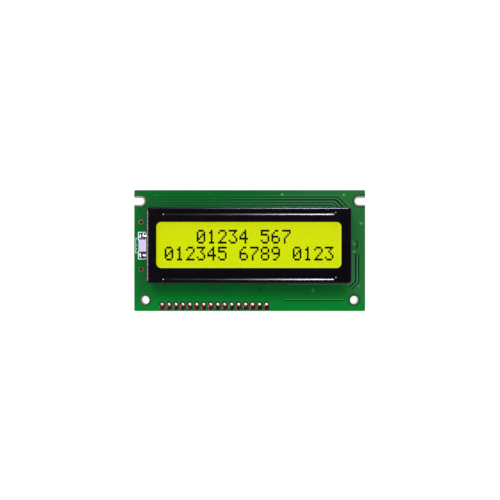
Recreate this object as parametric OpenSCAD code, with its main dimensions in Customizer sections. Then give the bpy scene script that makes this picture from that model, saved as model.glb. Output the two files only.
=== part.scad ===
// Character LCD module, two lines of sixteen 5 x 7 dot characters.
// It lies on its back: +X runs along the text, +Y points up the text and
// +Z leaves the display face. The origin is under the middle of the board,
// on the surface that the bezel's twisted tabs stand on. Millimetres.

/* [Window] */
// Length of the window, along the text
window_w = 64.4; // [62:0.2:70]
// Height of the window, across the text
window_d = 16; // [15:0.2:18]
// Radius of the window's corners
window_r = 1.7; // [0.5:0.1:3]

/* [Circuit board] */
// How far the board reaches past each end of the bezel
board_margin_end = 6.15; // [6:0.05:8]
// How far the board reaches above the bezel
board_margin_upper = 6.8; // [6.5:0.05:9]
// How far the board reaches below the bezel
board_margin_lower = 10.4; // [9.5:0.05:12]
// Thickness of the board
board_t = 1.6; // [1:0.1:2]
// Radius of the board's four corners
board_corner_r = 0.5; // [0.2:0.1:1]
// Thickness of the tinned copper pads on the board
pad_t = 0.05; // [0.03:0.01:0.1]

/* [Mounting holes and notches] */
// Distance of hole centres from the left and right edges
mount_inset_x = 4; // [3.5:0.1:5]
// Distance of hole and notch centres from the lower and upper edges
mount_inset_y = 4; // [3.5:0.1:5]
// Diameter of the two lower mounting holes
mount_hole_d = 2.9; // [2.5:0.1:3.2]
// Outer diameter of the bare ring round a mounting hole
mount_ring_d = 4; // [3.6:0.1:4.6]
// Width of the two upper notches, open to the board's ends
notch_w = 2.7; // [2.4:0.1:3.2]
// Distance of a notch's round end's centre from the board's end
notch_depth = 2.3; // [1.8:0.1:3]
// Width of the bare rim round a notch
notch_rim_w = 0.8; // [0.5:0.1:1]

/* [Header holes] */
// Number of header holes
header_count = 16; // [14:1:16]
// Distance between header holes
header_pitch = 2.54; // [2.4:0.02:2.6]
// Distance of the first hole from the board's left end
header_inset_x = 10; // [8:0.5:14]
// Distance of the row of holes from the board's lower edge
header_inset_y = 2.5; // [2:0.1:3]
// Finished diameter of a header hole
header_hole_d = 1.0; // [0.8:0.05:1.2]
// Wall of the metal sleeve in a plated hole
plating_t = 0.05; // [0.03:0.01:0.1]
// Width of a header pad
header_pad_w = 1.7; // [1.5:0.05:1.9]
// Distance from a header pad's foot to the board's lower edge
header_pad_edge = 0.3; // [0.2:0.1:0.5]

/* [Bezel] */
// Width of the bezel's face beside each end of the window
border_end = 3.65; // [3:0.05:4]
// Height of the bezel's face above and below the window
border_long = 5.4; // [4.5:0.05:5.5]
// Height of the bezel's face above the board
bezel_h = 8.6; // [7.5:0.1:10]
// Thickness of the bezel's sheet steel
sheet_t = 0.5; // [0.4:0.05:0.6]
// Outer radius of the bezel's upright corners
bezel_corner_r = 1.2; // [0.8:0.1:2]
// Outer radius of the fold round the bezel's face
bezel_fold_r = 1; // [0.7:0.05:1.1]
// Distance of each pressed bead's ends from the bezel's ends
bead_end = 5.5; // [5:0.05:12]
// Width of each pressed bead
bead_w = 1.9; // [1:0.1:2]
// Depth of each pressed bead
bead_depth = 0.3; // [0.2:0.05:0.5]
// Distance of a bead's middle from the bezel's long edge
bead_inset = 2.15; // [2:0.05:2.4]
// Width of the cut at each of the bezel's lower corners
corner_slit_w = 0.4; // [0.3:0.05:0.6]

/* [Twisted tabs] */
// Number of tabs along each long wall
tab_count = 4; // [2:1:5]
// Distance of the outer tabs' middles from the bezel's ends
tab_end = 8.85; // [6:0.05:14]
// Width of a tab
tab_w = 2; // [1.5:0.1:2.5]
// Length of a tab behind the board
tab_l = 2.2; // [2.1:0.1:3]
// Angle by which a tab is twisted
tab_twist = 35; // [20:5:60]
// Room round a tab in its slot
tab_clear = 0.2; // [0.15:0.05:0.3]

/* [Liquid crystal cell] */
// Room between the glass and the bezel's walls
glass_clear = 0.3; // [0.2:0.05:0.4]
// Thickness of each sheet of glass
glass_t = 1.1; // [0.7:0.1:1.3]
// Height of the front glass's contact ledge beyond the rear glass
ledge_d = 2.2; // [2.1:0.05:2.4]
// Thickness of the gap between the two sheets of glass
cell_gap = 0.12; // [0.1:0.01:0.2]
// Thickness of the lit dots' layer
dot_t = 0.06; // [0.04:0.01:0.08]
// Width of the glue seal round the cell
seal_w = 1; // [0.7:0.1:1.1]
// Distance of the seal from the rear glass's edge
seal_inset = 0.2; // [0.1:0.05:0.3]
// Width of the fill port in the seal
port_w = 2; // [1:0.1:3]
// Length of the resin bead over the port, on the edges of the glass
plug_bead_l = 4; // [3:0.1:6]
// Thickness of the front and rear polarizers
polarizer_t = 0.25; // [0.15:0.05:0.3]
// How far the front polarizer reaches past the window
polarizer_lap = 1; // [0.5:0.1:1.1]
// Distance of the rear polarizer's edges from the rear glass's edges
rear_polarizer_inset = 0.5; // [0.3:0.05:0.7]
// Room between the bead's underside and the front glass
bead_clear = 0.05; // [0.03:0.01:0.1]

/* [Characters] */
// Distance of the first and last characters from the window's ends
text_margin_x = 2.6; // [2.2:0.1:3]
// Distance of the first and last lines from the window's long edges
text_margin_y = 2.61; // [2:0.01:3]
// Room between neighbouring characters
char_gap = 0.8; // [0.6:0.05:1]
// Room between the two lines
line_gap = 1.08; // [0.8:0.01:1.4]
// Room between neighbouring dots
dot_gap = 0.05; // [0.04:0.01:0.08]

/* [Elastomer strips] */
// Distance of each strip's ends from the bezel's ends
strip_end = 2.85; // [1.5:0.05:4]
// Width of each strip
strip_w = 1.8; // [1.5:0.05:1.85]
// Bare length of a strip beyond its last contact fingers
finger_end = 3.3; // [2:0.1:6]
// Distance between contact fingers
finger_pitch = 1.5; // [1.3:0.05:1.5]
// Width of a contact finger
finger_w = 0.7; // [0.5:0.05:0.9]
// Length of a contact finger
finger_l = 2; // [1.8:0.05:2.1]

/* [Backlight] */
// Room between the backlight frame and the bezel's end walls
frame_clear = 0.5; // [0.4:0.05:0.8]
// Wall of the backlight frame
frame_wall = 1.2; // [1:0.1:1.4]
// Floor of the backlight frame
frame_floor = 0.9; // [0.6:0.1:1.2]
// Room round the parts in the frame
frame_fit = 0.15; // [0.1:0.01:0.2]
// Thickness of the reflector film
reflector_t = 0.2; // [0.1:0.05:0.3]
// Thickness of the diffuser film
diffuser_t = 0.25; // [0.15:0.05:0.3]
// Thickness of the board that carries the LEDs
led_board_t = 0.6; // [0.4:0.1:0.8]
// Number of LEDs
led_count = 3; // [2:1:4]
// Distance of the outer LEDs from the ends of their board
led_end = 2.3; // [1.5:0.1:3]
// Length of an LED
led_l = 2.8; // [2:0.1:3.2]
// Height of an LED
led_h = 1.4; // [1:0.1:1.8]
// Depth of an LED
led_depth = 0.8; // [0.6:0.1:1]
// Room between the frame's tab on the board and each terminal's pad
lead_tab_gap = 0.1; // [0.05:0.05:0.3]
// Thickness of the frame's tab
lead_tab_t = 1.8; // [1.6:0.1:2]
// Distance of the tab's end from the board's left end
lead_tab_inset = 1.9; // [1.2:0.1:2]
// Distance between the two terminals
terminal_pitch = 7.05; // [6.8:0.05:7.5]
// Thickness of a terminal
terminal_t = 0.3; // [0.2:0.05:0.4]
// Width of a terminal's leg
terminal_leg_w = 0.8; // [0.6:0.1:1]
// Length and width of a terminal's foot
terminal_foot = 1.6; // [1.2:0.1:1.8]
// Length and width of a terminal's pad on the board
terminal_pad = 2.5; // [2.3:0.1:2.6]
// Distance of a terminal's pad from the board's left end
terminal_pad_inset = 1.7; // [1.5:0.1:2.2]
// Height of the solder on a terminal's foot
solder_h = 0.75; // [0.6:0.05:0.9]
// Bare rim of a terminal's pad round its solder
solder_rim = 0.05; // [0.05:0.05:0.2]
// Distance of each spare plated hole from the nearer terminal
spare_hole_gap = 5.05; // [4.5:0.05:5.5]
// Diameter of a spare plated hole
spare_hole_d = 0.85; // [0.7:0.05:1]
// Diameter of the ring round a spare plated hole
spare_ring_d = 1.8; // [1.5:0.1:2]
// Distance of the spare plated holes from the board's left end
spare_hole_inset = 2.5; // [2:0.1:3]
// Room round the tab and terminals where they pass the bezel
lead_clear = 0.4; // [0.3:0.05:0.6]

/* [Parts behind the board] */
// Diameter of each epoxy blob over a bare chip
blob_d = 13; // [11:0.5:15]
// Height of each epoxy blob
blob_h = 1.7; // [1.2:0.1:2]
// Distance of each blob's middle from the bezel's nearer end
blob_inset = 21.85; // [16:0.05:26]
// Number of chip resistors
resistor_count = 7; // [5:1:8]
// Number of chip capacitors
capacitor_count = 3; // [2:1:4]
// Distance between chips in a row
chip_pitch = 4; // [3.5:0.1:4.2]
// Length of a chip
chip_l = 2; // [1.6:0.1:2.2]
// Width of a chip
chip_w = 1.25; // [0.8:0.05:1.4]
// Length of a chip's metal end
chip_end = 0.4; // [0.3:0.05:0.5]
// Thickness of a chip resistor
resistor_t = 0.5; // [0.4:0.05:0.7]
// Thickness of a chip capacitor
capacitor_t = 0.9; // [0.7:0.05:1.2]
// Foot of the solder at a chip's end
chip_solder = 0.35; // [0.25:0.05:0.4]
// Distance of the row of chips from the board's upper edge
chip_row_inset = 4; // [3:0.1:5]

/* [Hidden] */

// Text shown: digits only, one string per line, a space leaves a cell dark.
LINES = ["   01234 567    ", "012345 6789 0123"];
// The ten digits as rows of five dots, from the top down.
DIGITS = [
    ["01110", "10001", "10011", "10101", "11001", "10001", "01110"],
    ["00100", "01100", "00100", "00100", "00100", "00100", "01110"],
    ["01110", "10001", "00001", "00010", "00100", "01000", "11111"],
    ["11111", "00010", "00100", "00010", "00001", "10001", "01110"],
    ["00010", "00110", "01010", "10010", "11111", "00010", "00010"],
    ["11111", "10000", "11110", "00001", "00001", "10001", "01110"],
    ["00110", "01000", "10000", "11110", "10001", "10001", "01110"],
    ["11111", "00001", "00010", "00100", "01000", "01000", "01000"],
    ["01110", "10001", "10001", "01110", "10001", "10001", "01110"],
    ["01110", "10001", "10001", "01111", "00001", "00010", "01100"]
];
char_cols = 5;
char_rows = 7;

// Smallest overlap with which a cut passes the face that it opens.
past = 1;
// Facets of round edges, of small ones and of domes.
round_fn = 32;
small_fn = 16;
dome_fn = 40;
// Facets of the full circle that a dome's arc is part of, flat and high.
flat_arc_fn = 120;
high_arc_fn = 72;

// Outlines of the bezel and the board, from the window outwards.
bezel_w = window_w + 2 * border_end;
bezel_d = window_d + 2 * border_long;
board_w = bezel_w + 2 * board_margin_end;
board_d = bezel_d + board_margin_upper + board_margin_lower;
// Distance of the display's middle above the board's middle.
display_offset_y = (board_margin_lower - board_margin_upper) / 2;

// Heights from the surface that the tabs stand on.
board_z = tab_l;
board_top = board_z + board_t;
face_z = board_top + bezel_h;
face_under = face_z - sheet_t;
front_glass_top = face_under - bead_depth - bead_clear;
front_glass_z = front_glass_top - glass_t;
rear_glass_z = front_glass_z - cell_gap - glass_t;
rear_polarizer_z = rear_glass_z - polarizer_t;
frame_h = rear_polarizer_z - board_top;
reflector_z = board_top + frame_floor;
guide_z = reflector_z + reflector_t;
diffuser_z = rear_polarizer_z - diffuser_t;
guide_t = diffuser_z - guide_z;

// Outlines of the display's parts, about the display's middle.
glass_w = bezel_w - 2 * (sheet_t + glass_clear);
front_glass_d = bezel_d - 2 * (sheet_t + glass_clear);
rear_glass_d = front_glass_d - 2 * ledge_d;
polarizer_w = window_w + 2 * polarizer_lap;
polarizer_d = window_d + 2 * polarizer_lap;
rear_polarizer_w = glass_w - 2 * rear_polarizer_inset;
rear_polarizer_d = rear_glass_d - 2 * rear_polarizer_inset;
seal_out_w = glass_w - 2 * seal_inset;
seal_out_d = rear_glass_d - 2 * seal_inset;
seal_in_w = seal_out_w - 2 * seal_w;
seal_in_d = seal_out_d - 2 * seal_w;
strip_l = bezel_w - 2 * strip_end;
strip_y = front_glass_d / 2 - ledge_d / 2;
finger_count = 1 + floor((strip_l - 2 * finger_end - finger_w) / finger_pitch);
plug_bead_t = glass_clear / 2;

// Backlight outlines, about the display's middle.
frame_w = bezel_w - 2 * (sheet_t + frame_clear);
frame_d = rear_glass_d;
cavity_w = frame_w - 2 * frame_wall;
cavity_d = frame_d - 2 * frame_wall;
led_board_x = -cavity_w / 2;
led_x = led_board_x + led_board_t;
guide_x = led_x + led_depth + frame_fit;
guide_w = cavity_w / 2 - frame_fit - guide_x;
guide_d = cavity_d - 2 * frame_fit;
led_board_h = guide_t + reflector_t - frame_fit;
led_pitch = (guide_d - 2 * led_end - led_l) / (led_count - 1);
lead_tab_end = board_w / 2 - lead_tab_inset;
lead_tab_w = terminal_pitch - terminal_pad - 2 * lead_tab_gap;
terminal_pad_x = terminal_pad_inset + terminal_pad / 2 - board_w / 2;
terminal_leg_z = reflector_z + frame_fit;
wall_cut_w = terminal_pitch + terminal_leg_w + 2 * lead_clear;
wall_cut_h = max(lead_tab_t, terminal_leg_z + terminal_t - board_top) + lead_clear;

// Bead: a round-bottomed groove, its wall pressed down through the sheet.
bead_r = (bead_w * bead_w / 4 + bead_depth * bead_depth) / (2 * bead_depth);
bead_l = bezel_w - 2 * bead_end;
bead_y = bezel_d / 2 - bead_inset;
tab_y = bezel_d / 2 - sheet_t / 2;
tab_pitch = (bezel_w - 2 * tab_end) / (tab_count - 1);

// Characters, which fill the window up to its margins.
line_len = len(LINES[0]);
text_w = window_w - 2 * text_margin_x;
text_h = window_d - 2 * text_margin_y;
char_w = (text_w - (line_len - 1) * char_gap) / line_len;
char_h = (text_h - (len(LINES) - 1) * line_gap) / len(LINES);
char_pitch = char_w + char_gap;
line_pitch = char_h + line_gap;
dot_pitch_x = (char_w + dot_gap) / char_cols;
dot_pitch_y = (char_h + dot_gap) / char_rows;
dot_w = dot_pitch_x - dot_gap;
dot_h = dot_pitch_y - dot_gap;

// Parts behind the board.
blob_pitch = bezel_w - 2 * blob_inset;
chip_row_y = board_d / 2 - chip_row_inset;
chip_total = resistor_count + capacitor_count;

// ---------------------------------------------------------------- shapes

// A rectangle about the middle with four round corners.
module rounded_rect(w, d, r) {
    square([w - 2 * r, d], center = true);
    square([w, d - 2 * r], center = true);
    for (sx = [-1, 1], sy = [-1, 1])
        translate([sx * (w / 2 - r), sy * (d / 2 - r)])
            circle(r, $fn = round_fn);
}

// Upright outline of a sheet folded down at both ends, standing on y = 0.
module folded_outline(w, h, r) {
    translate([-w / 2, 0])
        square([w, h - r]);
    translate([r - w / 2, 0])
        square([w - 2 * r, h]);
    for (s = [-1, 1])
        translate([s * (w / 2 - r), h - r])
            circle(r, $fn = round_fn);
}

// A block with round upright corners and a round fold about its upper face.
module folded_block(w, d, h, corner_r, wanted_fold_r) {
    fold_r = min(wanted_fold_r, corner_r);
    rotate([90, 0, 0])
        linear_extrude(d - 2 * corner_r, center = true)
            folded_outline(w, h, fold_r);
    rotate([90, 0, 90])
        linear_extrude(w - 2 * corner_r, center = true)
            folded_outline(d, h, fold_r);
    for (sx = [-1, 1], sy = [-1, 1])
        translate([sx * (w / 2 - corner_r), sy * (d / 2 - corner_r), 0])
            rotate_extrude($fn = round_fn) {
                square([corner_r, h - fold_r]);
                square([corner_r - fold_r, h]);
                translate([corner_r - fold_r, h - fold_r])
                    intersection() {
                        circle(fold_r, $fn = round_fn);
                        square(fold_r);
                    }
            }
}

// A round bar along X with round ends, its middle at the origin.
module capsule(l, r) {
    rotate([0, 90, 0])
        cylinder(h = l, r = r, center = true, $fn = round_fn);
    for (s = [-1, 1])
        translate([s * l / 2, 0, 0])
            sphere(r, $fn = round_fn);
}

// Moves its children to the display's middle, at height z.
module at_display(z) {
    translate([0, display_offset_y, z])
        children();
}

// A flat sheet about the display's middle.
module sheet(w, d, t, z) {
    at_display(z)
        translate([-w / 2, -d / 2, 0])
            cube([w, d, t]);
}

// ---------------------------------------------------------------- places

// Runs its children at the two lower mounting holes.
module at_mount_holes() {
    for (s = [-1, 1])
        translate([s * (board_w / 2 - mount_inset_x), mount_inset_y - board_d / 2])
            children();
}

// Runs its children at both upper notches, each opening towards +X there.
module at_notches() {
    for (s = [0, 1])
        mirror([s, 0, 0])
            translate([board_w / 2 - notch_depth, board_d / 2 - mount_inset_y])
                children();
}

// Runs its children at each header hole.
module at_header_holes() {
    for (i = [0 : header_count - 1])
        translate([header_inset_x + i * header_pitch - board_w / 2, header_inset_y - board_d / 2])
            children();
}

// Runs its children at the two spare plated holes beside the backlight tab.
module at_spare_holes() {
    for (s = [-1, 1])
        translate([spare_hole_inset - board_w / 2, display_offset_y + s * (terminal_pitch / 2 + spare_hole_gap)])
            children();
}

// Runs its children at each bezel tab; s is the side of the display.
module at_tabs(s) {
    for (i = [0 : tab_count - 1])
        translate([(i - (tab_count - 1) / 2) * tab_pitch, display_offset_y + s * tab_y])
            children();
}

// Runs its children at chips first to last of the row behind the board.
module at_chips(first, last) {
    for (i = [first : last])
        translate([(i - (chip_total - 1) / 2) * chip_pitch, chip_row_y, board_z])
            mirror([0, 0, 1])
                children();
}

// ----------------------------------------------------------------- board

// A notch's outline, wider all round by grow.
module notch_outline(grow) {
    circle(notch_w / 2 + grow, $fn = round_fn);
    translate([0, -notch_w / 2 - grow])
        square([notch_depth + past, notch_w + 2 * grow]);
}

module circuit_board() {
    color("darkgreen")
        translate([0, 0, board_z])
            difference() {
                linear_extrude(board_t)
                    rounded_rect(board_w, board_d, board_corner_r);
                translate([0, 0, -past])
                    linear_extrude(board_t + 2 * past) {
                        at_mount_holes()
                            circle(d = mount_hole_d, $fn = round_fn);
                        at_notches()
                            notch_outline(0);
                        at_header_holes()
                            circle(d = header_hole_d + 2 * plating_t, $fn = small_fn);
                        at_spare_holes()
                            circle(d = spare_hole_d + 2 * plating_t, $fn = small_fn);
                        for (s = [-1, 1])
                            at_tabs(s)
                                square([tab_w + 2 * tab_clear, sheet_t + 2 * tab_clear], center = true);
                    }
            }
}

// Runs its children as a layer of the pads' thickness on both faces.
module on_both_faces() {
    for (z = [board_z - pad_t, board_top])
        translate([0, 0, z])
            linear_extrude(pad_t)
                children();
}

module mounting_pads() {
    color("silver")
        on_both_faces() {
            at_mount_holes()
                difference() {
                    circle(d = mount_ring_d, $fn = round_fn);
                    circle(d = mount_hole_d, $fn = round_fn);
                }
            intersection() {
                at_notches()
                    difference() {
                        notch_outline(notch_rim_w);
                        notch_outline(0);
                    }
                square([board_w, board_d], center = true);
            }
        }
}

// A sleeve through the board at the origin, with its pad's outline on each face.
module plated_hole(hole_d) {
    difference() {
        union() {
            translate([0, 0, board_z])
                cylinder(h = board_t, d = hole_d + 2 * plating_t, $fn = small_fn);
            on_both_faces()
                children();
        }
        translate([0, 0, board_z - past])
            cylinder(h = board_t + 2 * past, d = hole_d, $fn = small_fn);
    }
}

module header_pads() {
    pad_foot = header_inset_y - header_pad_edge;
    color("tan")
        at_header_holes()
            plated_hole(header_hole_d) {
                circle(d = header_pad_w, $fn = small_fn);
                translate([-header_pad_w / 2, -pad_foot])
                    square([header_pad_w, pad_foot]);
            }
}

module spare_hole_pads() {
    color("rosybrown")
        at_spare_holes()
            plated_hole(spare_hole_d)
                circle(d = spare_ring_d, $fn = round_fn);
}

module terminal_pads() {
    color("silver")
        for (s = [-1, 1])
            translate([terminal_pad_x, display_offset_y + s * terminal_pitch / 2, board_top + pad_t / 2])
                cube([terminal_pad, terminal_pad, pad_t], center = true);
}

// Row of contact fingers on side s of the display.
module contact_fingers(s) {
    color("gold")
        at_display(board_top)
            for (i = [0 : finger_count - 1])
                translate([(i - (finger_count - 1) / 2) * finger_pitch, s * strip_y, pad_t / 2])
                    cube([finger_w, finger_l, pad_t], center = true);
}

module contact_fingers_upper() {
    contact_fingers(1);
}

module contact_fingers_lower() {
    contact_fingers(-1);
}

// -------------------------------------------------------------- contacts

// Conductive rubber strip on side s, from the fingers to the glass's ledge.
module elastomer_strip(s) {
    strip_h = front_glass_z - board_top - pad_t;
    color("dimgray")
        at_display(board_top + pad_t)
            translate([-strip_l / 2, s * strip_y - strip_w / 2, 0])
                cube([strip_l, strip_w, strip_h]);
}

module elastomer_strip_upper() {
    elastomer_strip(1);
}

module elastomer_strip_lower() {
    elastomer_strip(-1);
}

// ------------------------------------------------------------- backlight

module backlight_frame() {
    color("lavender")
        difference() {
            union() {
                sheet(frame_w, frame_d, frame_h, board_top);
                at_display(board_top)
                    translate([-lead_tab_end, -lead_tab_w / 2, 0])
                        cube([lead_tab_end - frame_w / 2 + frame_wall, lead_tab_w, lead_tab_t]);
            }
            sheet(cavity_w, cavity_d, frame_h, reflector_z);
            for (s = [-1, 1])
                at_display(terminal_leg_z)
                    translate([-frame_w / 2 - past, s * terminal_pitch / 2 - terminal_leg_w / 2, 0])
                        cube([frame_wall + 2 * past, terminal_leg_w, terminal_t]);
        }
}

// A sheet of thickness t in the frame, of the light guide's outline.
module guide_sheet(t, z) {
    at_display(z)
        translate([guide_x, -guide_d / 2, 0])
            cube([guide_w, guide_d, t]);
}

module reflector_film() {
    color("white")
        guide_sheet(reflector_t, reflector_z);
}

module light_guide() {
    color("honeydew")
        guide_sheet(guide_t, guide_z);
}

module diffuser_film() {
    color("white")
        sheet(cavity_w - 2 * frame_fit, guide_d, diffuser_t, diffuser_z);
}

module led_board() {
    color("palegreen")
        at_display(reflector_z)
            translate([led_board_x, -guide_d / 2, 0])
                cube([led_board_t, guide_d, led_board_h]);
}

module led_chips() {
    color("khaki")
        at_display(guide_z + guide_t / 2)
            for (i = [0 : led_count - 1])
                translate([led_x, (i - (led_count - 1) / 2) * led_pitch - led_l / 2, -led_h / 2])
                    cube([led_depth, led_l, led_h]);
}

// Bent metal lead on side s of the tab, from the LED board to its pad.
module terminal(s) {
    pad_top = board_top + pad_t;
    foot_x = terminal_pad_x - terminal_foot / 2;
    bend_x = terminal_pad_x + terminal_foot / 2;
    color("silver")
        translate([0, display_offset_y + s * terminal_pitch / 2, 0]) {
            translate([foot_x, -terminal_foot / 2, pad_top])
                cube([terminal_foot, terminal_foot, terminal_t]);
            translate([bend_x - terminal_t, -terminal_leg_w / 2, pad_top])
                cube([terminal_t, terminal_leg_w, terminal_leg_z + terminal_t - pad_top]);
            translate([bend_x - terminal_t, -terminal_leg_w / 2, terminal_leg_z])
                cube([led_board_x - bend_x + terminal_t, terminal_leg_w, terminal_t]);
        }
}

module terminal_anode() {
    terminal(1);
}

module terminal_cathode() {
    terminal(-1);
}

// Part of a ball that stands h high on a round foot of diameter d.
module dome(d, h, arc_fn) {
    ball_r = (d * d / 4 + h * h) / (2 * h);
    rotate_extrude($fn = dome_fn)
        intersection() {
            translate([0, h - ball_r])
                circle(ball_r, $fn = arc_fn);
            square([d, h]);
        }
}

module terminal_solder() {
    solder_d = terminal_pad - 2 * solder_rim;
    color("gainsboro")
        difference() {
            for (s = [-1, 1])
                translate([terminal_pad_x, display_offset_y + s * terminal_pitch / 2, board_top + pad_t])
                    dome(solder_d, solder_h, high_arc_fn);
            terminal(1);
            terminal(-1);
        }
}

// ---------------------------------------------------------- display cell

module rear_polarizer() {
    color("olive")
        sheet(rear_polarizer_w, rear_polarizer_d, polarizer_t, rear_polarizer_z);
}

module rear_glass() {
    color("lightcyan")
        sheet(glass_w, rear_glass_d, glass_t, rear_glass_z);
}

module cell_seal() {
    seal_z = rear_glass_z + glass_t;
    color("beige")
        difference() {
            sheet(seal_out_w, seal_out_d, cell_gap, seal_z);
            sheet(seal_in_w, seal_in_d, cell_gap + 2 * past, seal_z - past);
            at_display(seal_z - past)
                translate([seal_in_w / 2 - past, -port_w / 2, 0])
                    cube([seal_w + 2 * past, port_w, cell_gap + 2 * past]);
        }
}

// Resin in the seal's fill port, with a bead on the edges of the glass.
module fill_port_plug() {
    port_l = seal_w + seal_inset;
    color("lightyellow") {
        at_display(rear_glass_z + glass_t)
            translate([glass_w / 2 - port_l, -port_w / 2, 0])
                cube([port_l, port_w, cell_gap]);
        at_display(rear_glass_z + glass_t / 2)
            translate([glass_w / 2, -plug_bead_l / 2, 0])
                cube([plug_bead_t, plug_bead_l, glass_t + cell_gap]);
    }
}

module liquid_crystal() {
    color("greenyellow")
        sheet(seal_in_w, seal_in_d, cell_gap - dot_t, rear_glass_z + glass_t);
}

// The dots of digit n, its lower left corner at the origin.
module digit_dots(n) {
    for (row = [0 : char_rows - 1], col = [0 : char_cols - 1])
        if (DIGITS[n][row][col] == "1")
            translate([col * dot_pitch_x, (char_rows - 1 - row) * dot_pitch_y, 0])
                cube([dot_w, dot_h, dot_t]);
}

module lit_dots() {
    color("darkolivegreen")
        at_display(front_glass_z - dot_t)
            for (line = [0 : len(LINES) - 1], i = [0 : len(LINES[line]) - 1])
                if (LINES[line][i] != " ")
                    translate([i * char_pitch - text_w / 2, text_h / 2 - char_h - line * line_pitch, 0])
                        digit_dots(ord(LINES[line][i]) - ord("0"));
}

module front_glass() {
    color("lightcyan")
        sheet(glass_w, front_glass_d, glass_t, front_glass_z);
}

module front_polarizer() {
    color("yellowgreen")
        sheet(polarizer_w, polarizer_d, polarizer_t, front_glass_top);
}

// ----------------------------------------------------------------- bezel

// Both beads' middles, as bars of radius r sunk into the face.
module bead_bars(r) {
    for (s = [-1, 1])
        translate([0, s * bead_y, bezel_h - bead_depth + bead_r])
            capsule(bead_l - bead_w, r);
}

// The folded sheet without its openings.
module bezel_shell() {
    difference() {
        folded_block(bezel_w, bezel_d, bezel_h, bezel_corner_r, bezel_fold_r);
        translate([0, 0, -past])
            folded_block(
                bezel_w - 2 * sheet_t, bezel_d - 2 * sheet_t, bezel_h - sheet_t + past,
                bezel_corner_r - sheet_t, bezel_fold_r - sheet_t
            );
    }
    intersection() {
        bead_bars(bead_r + sheet_t);
        folded_block(bezel_w, bezel_d, bezel_h, bezel_corner_r, bezel_fold_r);
    }
}

module bezel() {
    slit_top = bezel_h - bezel_fold_r - sheet_t;
    color("#15151c") {
        at_display(board_top)
            difference() {
                bezel_shell();
                bead_bars(bead_r);
                linear_extrude(bezel_h + past)
                    rounded_rect(window_w, window_d, window_r);
                translate([-bezel_w / 2 - past, -wall_cut_w / 2, -past])
                    cube([sheet_t + 2 * past, wall_cut_w, wall_cut_h + past]);
                for (sx = [-1, 1], sy = [-1, 1])
                    translate([sx * bezel_w / 2, sy * bezel_d / 2, -past])
                        rotate([0, 0, sx * sy * 45])
                            translate([-bezel_corner_r - sheet_t, -corner_slit_w / 2, 0])
                                cube([2 * (bezel_corner_r + sheet_t), corner_slit_w, slit_top + past]);
            }
        for (s = [-1, 1]) {
            translate([0, 0, board_z - sheet_t])
                at_tabs(s)
                    translate([-tab_w / 2, -sheet_t / 2, 0])
                        cube([tab_w, sheet_t, board_t + 2 * sheet_t]);
            at_tabs(s)
                rotate([0, 0, tab_twist])
                    translate([-tab_w / 2, -sheet_t / 2, 0])
                        cube([tab_w, sheet_t, tab_l]);
        }
    }
}

// ------------------------------------------------------------- rear parts

// Epoxy over a bare chip, on side s of the display's middle.
module epoxy_blob(s) {
    color("black")
        at_display(board_z)
            translate([s * blob_pitch / 2, 0, 0])
                mirror([0, 0, 1])
                    dome(blob_d, blob_h, flat_arc_fn);
}

module controller_blob() {
    epoxy_blob(-1);
}

module driver_blob() {
    epoxy_blob(1);
}

// Middle of a chip of thickness t, between its metal ends.
module chip_body(t) {
    translate([-chip_l / 2 + chip_end, -chip_w / 2, 0])
        cube([chip_l - 2 * chip_end, chip_w, t]);
}

// Both metal ends of a chip of thickness t.
module chip_ends(t) {
    for (s = [-1, 1])
        translate([s * (chip_l - chip_end) / 2 - chip_end / 2, -chip_w / 2, 0])
            cube([chip_end, chip_w, t]);
}

// Wedges of solder at both ends of a chip.
module chip_solder() {
    for (s = [0, 1])
        mirror([s, 0, 0])
            translate([chip_l / 2, chip_w / 2, 0])
                rotate([90, 0, 0])
                    linear_extrude(chip_w)
                        polygon([[0, 0], [chip_solder, 0], [0, chip_solder]]);
}

module resistor_bodies() {
    color("#1c1c20")
        at_chips(0, resistor_count - 1)
            chip_body(resistor_t);
}

module resistor_ends() {
    color("silver")
        at_chips(0, resistor_count - 1)
            chip_ends(resistor_t);
}

module capacitor_bodies() {
    color("peru")
        at_chips(resistor_count, chip_total - 1)
            chip_body(capacitor_t);
}

module capacitor_ends() {
    color("silver")
        at_chips(resistor_count, chip_total - 1)
            chip_ends(capacitor_t);
}

module chip_solder_joints() {
    color("gainsboro")
        at_chips(0, chip_total - 1)
            chip_solder();
}

circuit_board();
mounting_pads();
header_pads();
spare_hole_pads();
terminal_pads();
contact_fingers_upper();
contact_fingers_lower();
elastomer_strip_upper();
elastomer_strip_lower();
backlight_frame();
reflector_film();
light_guide();
diffuser_film();
led_board();
led_chips();
terminal_anode();
terminal_cathode();
terminal_solder();
rear_polarizer();
rear_glass();
cell_seal();
fill_port_plug();
liquid_crystal();
lit_dots();
front_glass();
front_polarizer();
bezel();
controller_blob();
driver_blob();
resistor_bodies();
resistor_ends();
capacitor_bodies();
capacitor_ends();
chip_solder_joints();
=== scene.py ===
"""Looks for a character LCD module: two rows of sixteen characters in a black bezel on a green board.

Every size in this file is in millimetres, apart from CAD_BOX, which is in metres as the frame is.
The board lies flat, its front looks up along +Z, and the header holes run along its lower left edge.
"""

import logging
import math
from dataclasses import dataclass
from enum import Enum
from typing import Sequence

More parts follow.
